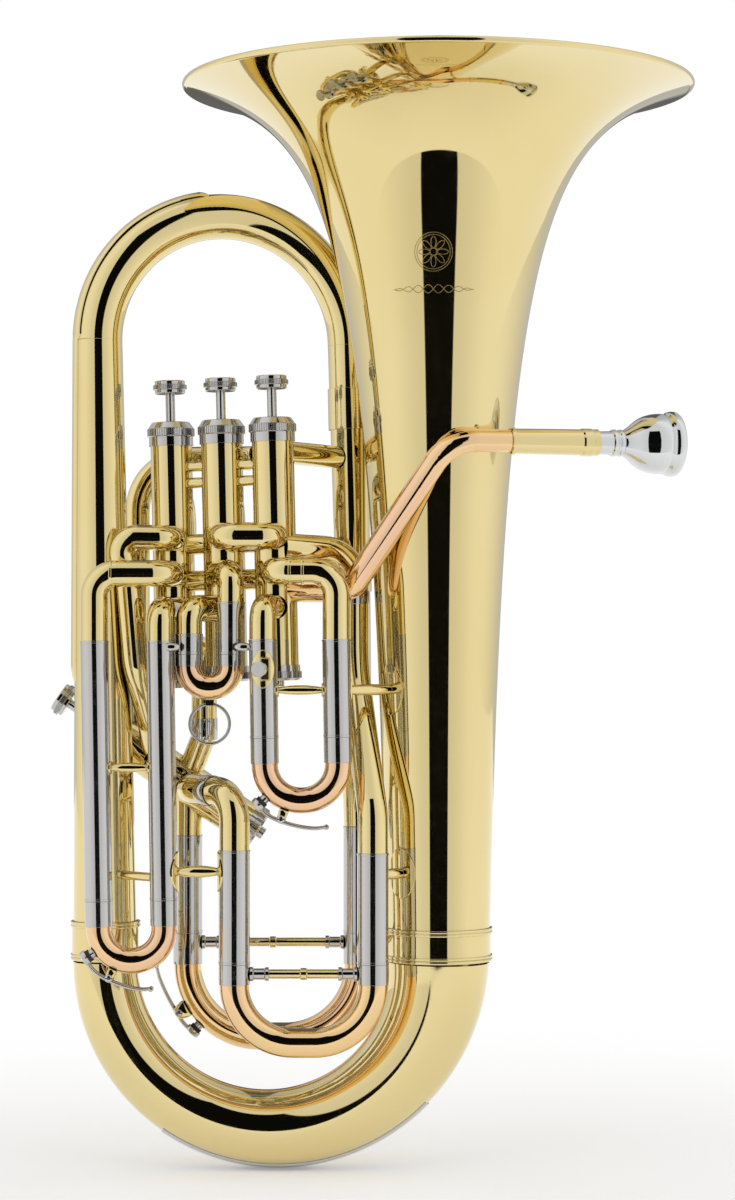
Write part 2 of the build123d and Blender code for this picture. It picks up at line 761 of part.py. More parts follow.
def trimmed(shape, slide):
    """A socket cut to the round of the slide's ferrules."""
    with BuildPart() as cut:
        add(shape)
        for mouth in slide.mouths():
            with BuildSketch(plane_along(mouth, slide.down)):
                Circle(slide.sleeve_r)
            extrude(amount=2 * slide.depth, mode=Mode.SUBTRACT)
    return largest(cut.part)


def group(pieces, name):
    """Writes separate solids as one node."""
    solids = [solid for piece in pieces for solid in piece.solids()]
    finish(Compound(children=solids), name)


def make_slides():
    """Sleeves, legs and crooks of all the slides."""
    make_sleeves(SLIDES, "slide_sleeves")
    make_sleeves(COMPS, "comp_slide_sleeves")
    for slide in SLIDES:
        legs = leg_tubes(slide)
        if slide in (MAIN, FOURTH):
            sockets, rod = socket_brace(slide, 6.0)
            legs += [trimmed(socket, slide) for socket in sockets]
            finish(rod, f"{slide.name}_rod")
        for layout in KEY_LAYOUT:
            if layout[0] is slide:
                legs += key_seat(water_key(*layout))
        finish(crook_tube(slide), f"{slide.name}_crook")
        group(legs, f"{slide.name}_legs")
    for slide in COMPS:
        with BuildPart() as whole:
            add(crook_tube(slide))
            for leg in leg_tubes(slide):
                add(leg)
            add(knob(slide))
        finish(largest(whole.part), slide.name)


# ---------------------------------------------------------------- fixed tubing
def make_elbows():
    """The bent tubes that lead from the valve casings to the slide sleeves."""
    radius = SLEEVE_R - 0.3
    first_left, first_right = FIRST.tops
    second_left, second_right = SECOND.tops
    third_left, third_right = THIRD.tops
    out_1 = in_valve(1, 0, 0, LEVEL_OUT)
    back_1 = in_valve(1, 0, 0, LEVEL_RETURN)
    out_2 = in_valve(2, 0, 0, LEVEL_OUT)
    back_2 = in_valve(2, 0, 0, LEVEL_RETURN)
    out_3 = in_valve(3, 0, 0, LEVEL_OUT)
    back_3 = in_valve(3, 0, 0, LEVEL_RETURN)

    def ahead(point, y):
        return Vector(point.X, y, point.Z)

    def above(point, z):
        return Vector(point.X, point.Y, z)

    def elbow(valve, points, bends):
        return cut_by_casings(plain_tube(points, radius, bends), VALVES[valve - 1])

    elbows = [
        elbow(3, [third_left, above(third_left, out_3.Z), ahead(out_3, THIRD_Y), out_3], 13),
        elbow(3, [third_right, above(third_right, back_3.Z), ahead(back_3, 2)], 10),
        elbow(1, [first_right, above(first_right, out_1.Z), ahead(out_1, FIRST_Y), out_1], [14, 8.4]),
        elbow(1, [first_left, above(first_left, back_1.Z), ahead(back_1, -12)], 8.6),
        elbow(2, [second_right, above(second_right, out_2.Z), ahead(out_2, -4) + Vector(-3, 0, 0)], 9),
        elbow(2, [second_left, above(second_left, back_2.Z), ahead(back_2, -6) + Vector(-2, 0, 0)], 9),
    ]
    group(elbows, "slide_elbows")


def make_crossovers():
    """The tubes that lead from valve to valve."""
    cross_1 = in_valve(1, 0, 0, LEVEL_CROSS)
    cross_2 = in_valve(2, 0, 0, LEVEL_CROSS)
    cross_3 = in_valve(3, 0, 0, LEVEL_CROSS)
    front_run = THIRD_Y + 4
    radius = SLEEVE_R - 0.2
    loop = cut_by_casings(plain_tube([
        cross_2,
        Vector(cross_2.X, front_run, cross_2.Z),
        Vector(cross_1.X, front_run, cross_2.Z),
        Vector(cross_1.X, cross_1.Y, cross_2.Z),
    ], radius, [9, 9]), VALVES[0], VALVES[1])
    return_low = cut_by_casings(plain_tube([
        cross_3,
        Vector(cross_3.X, -17, cross_3.Z),
        at(-190, -17, 377),
        at(-184, -14, 350),
        at(-180, -12, 300),
        at(-173, 6, 268),
        at(-172, 30, 250),
    ], radius - 0.4, [9, 9, 10, 30, 12]), VALVES[2], VALVES[3])
    start_1 = in_valve(1, -7, 0, -10.5)
    return_high = cut_by_casings(plain_tube([
        start_1,
        Vector(start_1.X, 34, start_1.Z),
        at(-183, 42, 426.5),
        at(-183, 42, 330),
        at(-184.5, 45, 275),
        at(-184.5, 45, 248),
    ], radius - 0.6, [12, 32, 40, 20]), VALVES[0], VALVES[3])
    drop = cut_by_casings(plain_tube([
        in_valve(3, 0, 0, -120),
        at(-141.5, 28, 310),
        at(-141.5, 30, 258),
        at(-152, 37.5, 232),
    ], radius - 0.4, [9, 12]), VALVES[2], VALVES[3])
    to_fourth = cut_by_casings(plain_tube([
        at(-150, VALVE_4_Y, 227.2),
        at(-147, -6, 227),
        at(-120.3, FOURTH_Y, 226),
        FOURTH.tops[0],
    ], FOURTH_SLEEVE_R - 0.3, [22, 17]), VALVES[3])
    from_fourth = cut_by_casings(plain_tube([
        in_valve(1, 4, -5, -67),
        at(-50.5, 5, 368.5),
        at(-50.5, 5, 300),
        at(-39.1, FOURTH_Y, 214),
        FOURTH.tops[1],
    ], FOURTH_SLEEVE_R - 0.3, [20, 60, 24]), VALVES[0])
    to_main = cut_by_casings(plain_tube([
        at(-152.1, MAIN_Y, 228),
        MAIN.tops[0],
    ], MAIN_SLEEVE_R - 0.3, None), VALVES[3])
    group([loop, return_low, return_high, drop, to_fourth, from_fourth, to_main], "crossover_tubes")


def make_knuckles():
    """Short ports between neighbouring casings, and the studs that hold the row together."""
    pieces = []
    for index in (1, 2):
        pair = (VALVES[index - 1], VALVES[index])
        for level, radius in ((-63.0, 6.2), (-85.0, 6.2), (-16.0, 3.2), (-26.0, 3.2)):
            ends = [in_valve(index, 0, 0, level), in_valve(index + 1, 0, 0, level)]
            pieces.append(cut_by_casings(plain_tube(ends, radius, None, wall=1.5), *pair))
    ports = []
    for index, slide in enumerate(COMPS, start=1):
        for top in slide.tops:
            inner = top - slide.down * (CASING_R + 4)
            port = plain_tube([inner, top], COMP_SLEEVE_R - 0.3, None)
            ports.append(cut_by_casings(port, VALVES[index - 1]))
    group(pieces + ports, "valve_knuckles")


# ---------------------------------------------------------------- leadpipe and mouthpiece
def receiver_plane():
    """The receiver's axis, from the leadpipe towards the player."""
    yaw = radians(RECEIVER_YAW)
    return plane_along(at(*RECEIVER_START), Vector(cos(yaw), sin(yaw), 0))


def make_leadpipe():
    """The tapered pipe from the receiver to valve 1."""
    points = [
        at(*RECEIVER_START),
        at(5.2, -61.8, 431.9),
        at(-52.4, -26, 345.5),
        in_valve(1, 0, 0, -91),
    ]
    pipe = taper_tube(points, (LEADPIPE_START_R, 7.2, LEADPIPE_END_R), [26, 15])
    finish(cut_by_casings(pipe, VALVES[0]), "leadpipe")


def make_receiver():
    """The socket for the mouthpiece's shank, with its ring."""
    outline = (
        (5.9, 0), (7.3, 0), (8.1, 0.4), (8.1, 2.4), (7.3, 2.8), (7.6, 44.0), (8.1, 45.0), (8.1, 50.5),
        (7.7, 51.2), (7.8, RECEIVER_LENGTH), (6.65, RECEIVER_LENGTH), (6.25, 28.0), (5.9, 28.0),
    )
    finish(receiver_plane().location * turned(outline), "mouthpiece_receiver")


def make_mouthpiece():
    """The cup mouthpiece, its shank in the receiver's taper."""
    shank = (
        (5.2, 30.5),
        (6.24, 30.5),
        (6.6, RECEIVER_LENGTH),
        (6.9, 63.0),
        (7.9, 63.6),
        (7.9, 65.6),
        (7.2, 66.2),
        (7.2, 67.4),
        (7.9, 68.0),
        (7.9, 69.4),
        (7.3, 70.2),
    )
    with BuildPart() as mouthpiece:
        with BuildSketch(Plane.XZ):
            with BuildLine():
                Polyline(*shank)
                Spline((7.3, 70.2), (9.2, 73.5), (14.2, 80.0), (17.4, 89.0), (17.6, 95.0))
                Polyline((17.6, 95.0), (17.2, 96.2), (17.9, 97.4))
                Spline(
                    (17.9, 97.4), (19.2, 100.8), (18.3, 104.0), (16.0, 105.0), (13.6, 103.9), (12.9, 101.8),
                )
                Spline((12.9, 101.8), (11.8, 94.0), (8.4, 86.0), (3.6, 79.0))
                Polyline((3.6, 79.0), (3.4, 74.0), (5.2, 30.5))
            make_face()
        revolve(axis=Axis.Z)
    finish(receiver_plane().location * mouthpiece.part, "mouthpiece")


# ---------------------------------------------------------------- braces and small fittings
def oval_flange(seat, outward, along, radius, width, height, thickness=0.8):
    """A thin oval plate bent round a tube; the seat is on the tube's axis."""
    side = along.cross(outward).normalized()
    with BuildPart() as plate:
        with BuildSketch(Plane(seat, x_dir=side, z_dir=outward)):
            Ellipse(width / 2, height / 2)
        extrude(amount=2 * radius)
        with BuildSketch(plane_along(seat - along * height, along)):
            Circle(radius + thickness)
            Circle(radius, mode=Mode.SUBTRACT)
        extrude(amount=2 * height, mode=Mode.INTERSECT)
    return plate.part


def leg_point(slide, side, z):
    """The point of a slide leg's axis at a height."""
    top = slide.tops[side]
    return top + slide.down * ((top.Z - z) / -slide.down.Z)


def sleeve_brace(near, near_r, far, far_r, waist=1.7, belly=2.9):
    """A cigar brace between two round tubes with a small round flange on each."""
    across = (far - near).normalized()
    rod = spindle(near + across * near_r, far - across * far_r, waist, belly)
    up = Vector(0, 0, 1)
    return [
        rod,
        oval_flange(near, across, up, near_r, 8, 8),
        oval_flange(far, -across, up, far_r, 8, 8),
    ]


def bell_brace(slide, side, z, angle):
    """A brace from a slide's sleeve to the bell, with a tall oval flange on the bell."""
    start = leg_point(slide, side, z)
    turn = radians(angle)
    outward = Vector(cos(turn), sin(turn), 0)
    radius = horn_radius(MOUTH_Z - z)
    end = at(0, 0, z) + outward * radius
    across = (end - start).normalized()
    rod = spindle(start + across * slide.sleeve_r, end, 2.6, 3.4)
    with BuildPart() as plate:
        with BuildSketch(Plane(at(0, 0, z), x_dir=outward.cross(Vector(0, 0, 1)), z_dir=outward)):
            Ellipse(10, 15)
        extrude(amount=2 * radius)
        add(horn_solid(0.8), mode=Mode.INTERSECT)
        add(horn_solid(0.0), mode=Mode.SUBTRACT)
    return [rod, largest(plate.part), oval_flange(start, across, Vector(0, 0, 1), slide.sleeve_r, 8, 14)]


def make_braces():
    """Rods, posts and flanges that are soldered between the tubes."""
    third_mid = (leg_point(THIRD, 0, 241), leg_point(THIRD, 1, 241))
    first_mid = (leg_point(FIRST, 0, 286.6), leg_point(FIRST, 1, 286.6))
    third_low = leg_point(THIRD, 1, 180)
    fourth_left = leg_point(FOURTH, 0, 180)
    pieces = []
    pieces += sleeve_brace(third_mid[0], SLEEVE_R, third_mid[1], SLEEVE_R)
    pieces += sleeve_brace(first_mid[0], SLEEVE_R, first_mid[1], SLEEVE_R)
    across = (fourth_left - third_low).normalized()
    pieces.append(spindle(third_low + across * SLEEVE_R, fourth_left - across * FOURTH_SLEEVE_R, 2.0, 3.6))
    pieces.append(oval_flange(third_low, across, Vector(0, 0, 1), SLEEVE_R, 14, 24))
    pieces.append(oval_flange(fourth_left, -across, Vector(0, 0, 1), FOURTH_SLEEVE_R, 14, 24))
    pieces += bell_brace(FIRST, 1, 286.6, 216)
    pieces += bell_brace(FOURTH, 1, 178, 226)
    post_foot = leg_point(THIRD, 1, 176)
    branch = at(LEFT_X - 0.4, LEFT_Y, 176)
    reach = (branch - post_foot).normalized()
    length = (branch - post_foot).length
    pieces.append(plane_along(post_foot, reach).location * turned((
        (0, SLEEVE_R), (2.6, SLEEVE_R), (3.0, SLEEVE_R + 1), (2.6, SLEEVE_R + 2),
        (2.6, length - 18.7), (0, length - 18.7),
    )))
    lead = at(24, -56.0, 431.9)
    seat = at(17, -horn_radius(MOUTH_Z - 431.9) * 0.92, 431.9)
    toward = (seat - lead).normalized()
    gap = (seat - lead).length
    pieces.append(plane_along(lead, toward).location * turned((
        (0, 6.6), (3.0, 6.6), (2.4, 7.6), (2.4, gap - 1), (3.2, gap), (0, gap),
    )))
    stay_start = in_valve(1, 0, 0, -9)
    stay_end = at(-54.0, 40, 427)
    stay = cut_by_casings(plain_tube([stay_start, stay_end], 6.8, None), VALVES[0])
    with BuildPart() as stay_cut:
        add(stay)
        with BuildSketch(plane_along(RIGHT_BRANCH[0], RIGHT_BRANCH[1] - RIGHT_BRANCH[0])):
            Circle(RIGHT_TOP_R + 1.0)
        extrude(amount=120, mode=Mode.SUBTRACT)
    pieces.append(largest(stay_cut.part))
    group(pieces, "braces")


def make_pull_ring():
    """The finger ring under the second slide's crook."""
    first, last = SECOND.mouths()
    crown = (first + last) / 2 + DOWN * (SECOND.ferrule + SECOND.depth + SECOND.leg_r())
    centre = crown + DOWN * (PULL_RING_R + 2.2)
    with BuildPart() as ring:
        with BuildSketch(Plane(centre, x_dir=(0, 1, 0), z_dir=(1, 0, 0))):
            with Locations((0, PULL_RING_R)):
                Circle(PULL_RING_WIRE)
        revolve(axis=Axis(centre, (0, 1, 0)))
        with Locations(crown + DOWN * 1.3):
            Box(5, 4, 3.6)
    finish(ring.part, "pull_ring")


def lyre_block_centre():
    """The middle of the socket block."""
    seat = leg_point(FIRST, 0, LYRE_Z)
    return Vector(seat.X + 1.4, FIRST_Y - SLEEVE_R - 3.0, LYRE_Z)


def make_lyre_holder():
    """A bent plate on the first slide's left sleeve, with its socket block and clamping screw."""
    seat = leg_point(FIRST, 0, LYRE_Z)
    centre = lyre_block_centre()
    with BuildPart() as holder:
        add(oval_flange(seat, Vector(0, -1, 0), Vector(0, 0, 1), SLEEVE_R, *LYRE_PLATE))
        with Locations(centre):
            Box(*LYRE_BLOCK)
            Box(LYRE_SOCKET, LYRE_SOCKET, 2 * LYRE_BLOCK[2], mode=Mode.SUBTRACT)
    finish(holder.part, "lyre_holder")
    screw = ((0, 0), (4.7, 0), (4.7, 2.6), (4.2, 3.0), (0, 3.0))
    start = centre + Vector(-LYRE_BLOCK[0] / 2 - 0.4, -LYRE_BLOCK[1] / 2, 0)
    finish(plane_along(start, Vector(-0.3, -0.954, 0)).location * turned(screw), "lyre_screw")


@dataclass
class WaterKey:
    """A water key on a crook, placed in polar coordinates round the crook's bend."""

    slide: Slide
    centre: Vector          # centre of the bend it sits on
    outer: float            # radius of the crook's outside there
    cork_angle: float
    pivot_angle: float
    tip_angle: float

    def spot(self, angle, height):
        """A point of the slide's plane above the crook's outside, in the plane's own coordinates."""
        turn = radians(angle)
        reach = self.outer + height
        return (reach * cos(turn), reach * sin(turn))

    def place(self, angle, height):
        """The same point in the instrument's frame."""
        x, z = self.spot(angle, height)
        return self.centre + Vector(x, 0, z)


def bend_centre(slide, side):
    """The centre of a crook's bend next to one leg, and the radius of its outside."""
    first, last = slide.mouths()
    half = (last - first).length / 2
    radius = min(half - 0.3, slide.depth - 0.3)
    inward = (last - first).normalized() * (1 if side == 0 else -1)
    corner = (first, last)[side] + slide.down * (slide.ferrule + slide.depth)
    return corner + inward * radius - slide.down * radius, radius + slide.leg_r()


def water_key(slide, cork, pivot, tip):
    """The water key at the left bend of a slide's crook."""
    centre, outer = bend_centre(slide, 0)
    return WaterKey(slide, centre, outer, cork, pivot, tip)


def make_water_keys():
    """Spring levers that open the drain hole of a crook."""
    for layout in KEY_LAYOUT:
        make_lever(water_key(*layout))


def key_face(key):
    """The slide's plane seen from the front, origin at the bend's centre."""
    return Plane(key.centre, x_dir=(1, 0, 0), z_dir=(0, -1, 0))


def make_lever(key):
    """A curved lever with its barrel and cork cup, and the cork."""
    name = key.slide.name.replace("_slide", "")
    outward = (key.place(key.cork_angle, 10) - key.place(key.cork_angle, 0)).normalized()
    foot = key.place(key.cork_angle, 0)
    with BuildPart() as lever:
        with BuildSketch(key_face(key)):
            with BuildLine():
                Spline(
                    key.spot(key.cork_angle, CUP_TOP + 0.4),
                    key.spot((key.cork_angle + key.pivot_angle) / 2, CUP_TOP + 0.6),
                    key.spot(key.pivot_angle, PIVOT_HEIGHT + 1.6),
                    key.spot((key.pivot_angle * 0.4 + key.tip_angle * 0.6), 8.6),
                    key.spot(key.tip_angle, 11.0),
                )
            trace(line_width=LEVER_THICKNESS)
        extrude(amount=LEVER_WIDTH / 2, both=True)
        with BuildSketch(plane_along(foot + outward * (CORK_TOP - 2.0), outward)):
            Circle(CUP_R)
        extrude(amount=CUP_TOP - CORK_TOP + 2.0)
        with BuildSketch(plane_along(foot + outward * (CORK_TOP - 2.0), outward)):
            Circle(CORK_R)
        extrude(amount=2.0, mode=Mode.SUBTRACT)
        with BuildSketch(key_face(key)):
            with Locations(key.spot(key.pivot_angle, PIVOT_HEIGHT)):
                Circle(BARREL_R)
        extrude(amount=BARREL_HALF, both=True)
        with BuildSketch(key_face(key)):
            with Locations(key.spot(key.pivot_angle, PIVOT_HEIGHT)):
                Circle(PIN_R + RUNNING)
        extrude(amount=4, both=True, mode=Mode.SUBTRACT)
    finish(largest(lever.part), f"{name}_water_key")
    with BuildPart() as cork:
        with BuildSketch(plane_along(foot + outward * NIPPLE_TOP, outward)):
            Circle(CORK_R)
        extrude(amount=CORK_TOP - NIPPLE_TOP)
    finish(cork.part, f"{name}_key_cork")


def key_seat(key):
    """The drain nipple, and the two-eared saddle with its pin, soldered to the crook."""
    foot = key.place(key.cork_angle, -0.6)
    outward = (key.place(key.cork_angle, 10) - foot).normalized()
    with BuildPart() as seat:
        with BuildSketch(key_face(key)):
            with BuildLine():
                Polyline(
                    key.spot(key.pivot_angle - 5, -0.5),
                    key.spot(key.pivot_angle - 5, 2.0),
                    key.spot(key.pivot_angle - 3, PIVOT_HEIGHT + 1.5),
                    key.spot(key.pivot_angle + 3, PIVOT_HEIGHT + 1.5),
                    key.spot(key.pivot_angle + 5, 2.0),
                    key.spot(key.pivot_angle + 5, -0.5),
                    close=True,
                )
            make_face()
        extrude(amount=SADDLE_HALF, both=True)
        with BuildSketch(key_face(key)):
            with BuildLine():
                Polyline(
                    key.spot(key.pivot_angle - 9, 1.6),
                    key.spot(key.pivot_angle - 9, 12),
                    key.spot(key.pivot_angle + 9, 12),
                    key.spot(key.pivot_angle + 9, 1.6),
                    close=True,
                )
            make_face()
        extrude(amount=SADDLE_GAP, both=True, mode=Mode.SUBTRACT)
        with BuildSketch(key_face(key)):
            with Locations(key.spot(key.pivot_angle, PIVOT_HEIGHT)):
                Circle(PIN_R)
        extrude(amount=5.0, both=True)
    with BuildPart() as nipple:
        with BuildSketch(plane_along(foot, outward)):
            Circle(2.8)
            Circle(1.4, mode=Mode.SUBTRACT)
        extrude(amount=NIPPLE_TOP + 0.6)
    return [seat.part, nipple.part]


make_bell()
make_body_tubes()
make_body_ferrules()
make_bottom_guard()
make_hand_guard()
make_casings()
make_caps()
make_pistons()
make_buttons()
make_springs()
make_slides()
make_water_keys()
make_elbows()
make_crossovers()
make_knuckles()
make_leadpipe()
make_receiver()
make_mouthpiece()
make_braces()
make_pull_ring()
make_lyre_holder()
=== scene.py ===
import json
import math

import bmesh
import bpy
from mathutils import Matrix, Vector


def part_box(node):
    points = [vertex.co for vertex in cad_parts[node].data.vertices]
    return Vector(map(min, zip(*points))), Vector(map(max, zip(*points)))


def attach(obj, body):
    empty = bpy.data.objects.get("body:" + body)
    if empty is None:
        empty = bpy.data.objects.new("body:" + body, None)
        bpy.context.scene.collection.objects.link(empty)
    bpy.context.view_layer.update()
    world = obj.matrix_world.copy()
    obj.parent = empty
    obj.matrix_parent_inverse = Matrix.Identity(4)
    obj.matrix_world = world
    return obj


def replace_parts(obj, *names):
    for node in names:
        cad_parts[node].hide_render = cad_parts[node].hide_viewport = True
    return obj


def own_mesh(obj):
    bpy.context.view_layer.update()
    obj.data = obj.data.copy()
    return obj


# The looks of a four-valve compensating euphonium, in metres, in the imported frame: +Z up,
# the player's hand side towards -Y, the bell at +X.

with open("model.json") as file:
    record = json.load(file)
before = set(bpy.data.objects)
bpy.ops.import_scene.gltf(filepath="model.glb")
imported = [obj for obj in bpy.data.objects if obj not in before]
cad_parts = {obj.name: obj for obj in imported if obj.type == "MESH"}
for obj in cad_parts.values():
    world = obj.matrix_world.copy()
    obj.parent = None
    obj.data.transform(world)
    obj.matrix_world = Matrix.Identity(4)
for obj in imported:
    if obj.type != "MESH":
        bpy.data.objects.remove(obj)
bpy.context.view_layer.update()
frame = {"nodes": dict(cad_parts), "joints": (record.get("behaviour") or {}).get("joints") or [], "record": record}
NODES = frame["nodes"]
MM = 0.001
WELD_DISTANCE = 1e-7

# ---------------------------------------------------------------- camera and light
CAMERA_PLACE = (-0.00094, -1.89, 0.316)
CAMERA_LENS = 94.7
CAMERA_SHIFT = 0.0333
GAP_HALF_ANGLE = 19.0           # the dark gap between the two soft panels, round the camera
GAP_TOP = 47.0                  # the gap's upper end, above the horizon
REAR_GAP_HALF_ANGLE = 9.0
GAP_SOFT_EDGE = 0.7
GAP_GLOW = 0.004                # what is left of the light inside the gap
REAR_GAP_SHARE = 0.25
PANEL_NEAR_GAP = 0.78           # the panels' strength beside the gap
PANEL_FULL = 0.98
PANEL_FULL_ANGLE = 72.0
PANEL_FALL_ANGLE = 80.0         # from here the panels weaken towards the rear
PANEL_REAR_SHARE = 0.5
SENSOR_WIDTH = 36.0
CLIP_NEAR = 0.05
CLIP_FAR = 30.0
FLOOR_HALF_SIZE = 4.0
FLOOR_DROP = 0.0005             # the floor lies this far below the instrument
FLOOR_DARK = (0.93, 0.93, 0.93)
FLOOR_PALE = (0.96, 0.96, 0.96)
FLOOR_GRAIN = 40.0
FLOOR_GLOW = 0.24
FLOOR_FADE_START = 0.15         # distance from the frame's origin
FLOOR_FADE_END = 0.75
PLATE_FRONT = -0.56             # how far in front of the instrument the white floor is reflected

# ---------------------------------------------------------------- finishes
# each metal's colour, and the deeper colour it drifts to
YELLOW = (0.82, 0.68, 0.335)
YELLOW_DEEP = (0.80, 0.655, 0.30)
ETCHED = (0.50, 0.37, 0.15)
ETCHED_DEEP = (0.42, 0.30, 0.11)
ROSE = (0.92, 0.65, 0.315)
ROSE_DEEP = (0.88, 0.56, 0.36)
NICKEL = (0.57, 0.56, 0.55)
NICKEL_DEEP = (0.57, 0.56, 0.54)
SILVER = (0.74, 0.75, 0.755)
SILVER_DEEP = (0.70, 0.70, 0.70)
STEEL = (0.52, 0.52, 0.52)
STEEL_DEEP = (0.45, 0.45, 0.46)
CORK_DARK = (0.008, 0.008, 0.008)
CORK_PALE = (0.035, 0.033, 0.03)
LACQUER = 0.6
LACQUER_ROUGHNESS = 0.03
DRIFT_SCALE = 9.0
DRIFT_SPAN = (0.35, 0.7)        # the part of the noise over which the colour drifts
SHADE_REACH = 3.5 * MM         # how far the painted shade in a corner spreads
SHADE_SPAN = (0.25, 0.8)
MARK_SCALE = 140.0
MARK_SPAN = (0.45, 0.8)
PEEL_SCALE = 260.0
# the painted shade's colour, as a share of the deeper colour
PAINTED_SHADE_SHARE = 0.45
SMEAR_SHARE = 2.6               # how much rougher a handling mark is
SCRATCH_STRETCH = (60.0, 60.0, 900.0)
SCRATCH_DEPTH = 0.02 * MM
PEEL_DEPTH = 0.05 * MM
PEEL_SHARE = 1.5
CORK_GRAIN = 900.0
CORK_SPAN = (0.3, 0.7)
CORK_ROUGHNESS = (0.55, 0.8)
CORK_BUMP = 0.5
CORK_DEPTH = 0.1 * MM

# ---------------------------------------------------------------- the body's sheet metal, in millimetres
BELL_X = (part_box("bell")[0].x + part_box("bell")[1].x) / 2 / MM
SHEET = 0.7
MOUTH_Z = 646.0
BELL_FOOT_Z = 144.0
RIM_WIRE = 1.9
RIM_START_ANGLE = -60.0         # where the rolled wire leaves the outside of the sheet
RIM_TUCK_ANGLE = 35.0           # how far it turns under on the inside
DEPTH_POWER = 2.2               # crowds the bell's rings towards its mouth
FIRST_DEPTH = 0.5
RIM_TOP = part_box("bell")[1].z / MM
HORN_SCALE = 429.5              # bell radius = scale * (depth + shift) ** -power - drop + taper * depth
HORN_SHIFT = 13.8
HORN_POWER = 0.269
HORN_DROP = 60.0
HORN_TAPER = 0.0223
LEFT_Y = 4.0
LEFT_FOOT = Vector((-199.4, LEFT_Y, 128.0))         # x from the bell's axis
LEFT_TOP = Vector((-203.2, LEFT_Y, 495.7))
RIGHT_TOP = Vector((-54.2, 40.0, 495.7))
RIGHT_FOOT = Vector((-48.0, 40.0, 202.4))
BOTTOM_BOW_Z = 123.47
BOTTOM_RADII = (30.6, 22.9, 19.2)
LEFT_RADII = (19.2, 16.6, 13.8)
TOP_RADII = (13.8, 13.5, 12.3)
RIGHT_RADII = (12.3, 10.6, 8.6)

# ---------------------------------------------------------------- fittings, in millimetres
GUARD_PROUD = 2.1               # thickness of the hand guard's middle
GUARD_HALF_WIDTH = 7.0
GUARD_FOOT_Z = 291.0
GUARD_BOW_SHARE = 83.0 / 180.0  # how much of the top bow the guard covers
GUARD_LIFT = 0.02
GUARD_SINK = 0.1                # how far its underside lies inside the tube
GUARD_BRANCH_STEPS = 60
GUARD_BOW_STEPS = 180
GUARD_END_STEPS = 3.0           # stations over which an end rises
ELBOW_R = 7.9
LEVEL_OUT = 356.4               # height of the tubes that leave the valves towards the slides
# middle, direction and tube radius of each ring
SOLDER_RINGS = (
    ((-87.9, -42.0, LEVEL_OUT), (1, 0, 0), ELBOW_R),
    ((-80.3, -42.0, LEVEL_OUT), (1, 0, 0), ELBOW_R),
    ((-193.0, -36.0, LEVEL_OUT - 1.4), (1, 0, 0), ELBOW_R),
)
RING_LENGTH = 1.6
RING_PROUD = 0.35
# middle, direction, tube radius and length of each ferrule
FERRULES = (
    ((-50.5, 5.0, 341.5), (0, 0, 1), 8.9, 8.0),
    ((-184.5, 45.0, 264.0), (0, 0, 1), 7.4, 13.0),
    ((-141.5, 29.8, 262.0), (0, 0.04, -1), 7.6, 13.0),
    ((-136.0, -20.0, 226.6), (26.7, -32, -1), 8.9, 9.0),
)
FERRULE_PROUD = 0.45
# place, radius and the heights of the double beads of each big joint
JOINT_BEADS = (
    ((0.0, 0.0), 31.9, (126.4, 142.6)),
    ((-199.3, 4.0), 20.2, (126.4, 146.0)),
)
BEAD_LENGTH = 1.5
BEAD_PROUD = 0.7
BEAD_HALF_PITCH = 1.0
BAND_SINK = 0.1                 # how far a collar reaches into its tube
BAND_EASE = 0.3
BAND_EASE_SHARE = 0.7
CONNECTORS = ((-157.3, -42.2, 311.9), (-114.7, -44.5, 311.9))
CONNECTOR_HALF_WIDTH = 5.2
CONNECTOR_HALF_HEIGHT = 2.5
# depth and scale
CONNECTOR_PROFILE = ((1.2, 1.0), (-0.2, 1.0), (-0.9, 0.86), (-1.5, 0.62), (-1.8, 0.28))
CONNECTOR_SIDES = 40
ROSETTE = (-4.0, 541.0)         # middle of the engraved rosette: across the bell, and height
ROSETTE_R = 11.0
ROSETTE_GAP = 1.3               # between the two outer circles
ROSETTE_EYE_R = 2.0
CIRCLE_STEPS = 72
PETALS = 8
PETAL_STEPS = 24
PETAL_MIDDLE = 5.4
PETAL_HALF_LENGTH = 3.2
PETAL_HALF_WIDTH = 1.5
BRAID_Z = 520.0
BRAID_HALF = 24.0
BRAID_RISE = 2.4
BRAID_HALF_WAVE = 6.0
BRAID_STEPS = 120
LINE_SINK = 0.05
LINE_WIDTH = 0.42
LINE_PROUD = 0.03

# ---------------------------------------------------------------- water keys, in millimetres and degrees
# slide, middle of the bend, radius of the bend's outside, angles of the cork, the pivot and the tip
KEYS = (
    ("third", (-181.0, -36.0, 146.6), 26.6, 213, 246, 288),
    ("first", (-81.2, -42.0, 243.1), 28.8, 223.5, 250, 292),
    ("main", (-107.9, 40.0, 118.0), 52.55, 225, 211, 181),
)
PIVOT_HEIGHT = 5.0
SADDLE_HALF = 4.4
LEVER_FOOT_HEIGHT = 6.0
LEVER_NECK_HEIGHT = 6.6
LEVER_OVER_PIVOT = 1.5
LEVER_ARM = ((0.4, 7.4), (0.75, 9.4))       # share of the way from pivot to tip, and height
LEVER_TIP_HEIGHT = 10.8
LEVER_STEPS = 12
LEVER_HALF_WIDTHS = (1.8, 2.2, 3.6)
LEVER_HALF_DEPTHS = (1.35, 1.25, 1.05)
LEVER_SIDES = 24
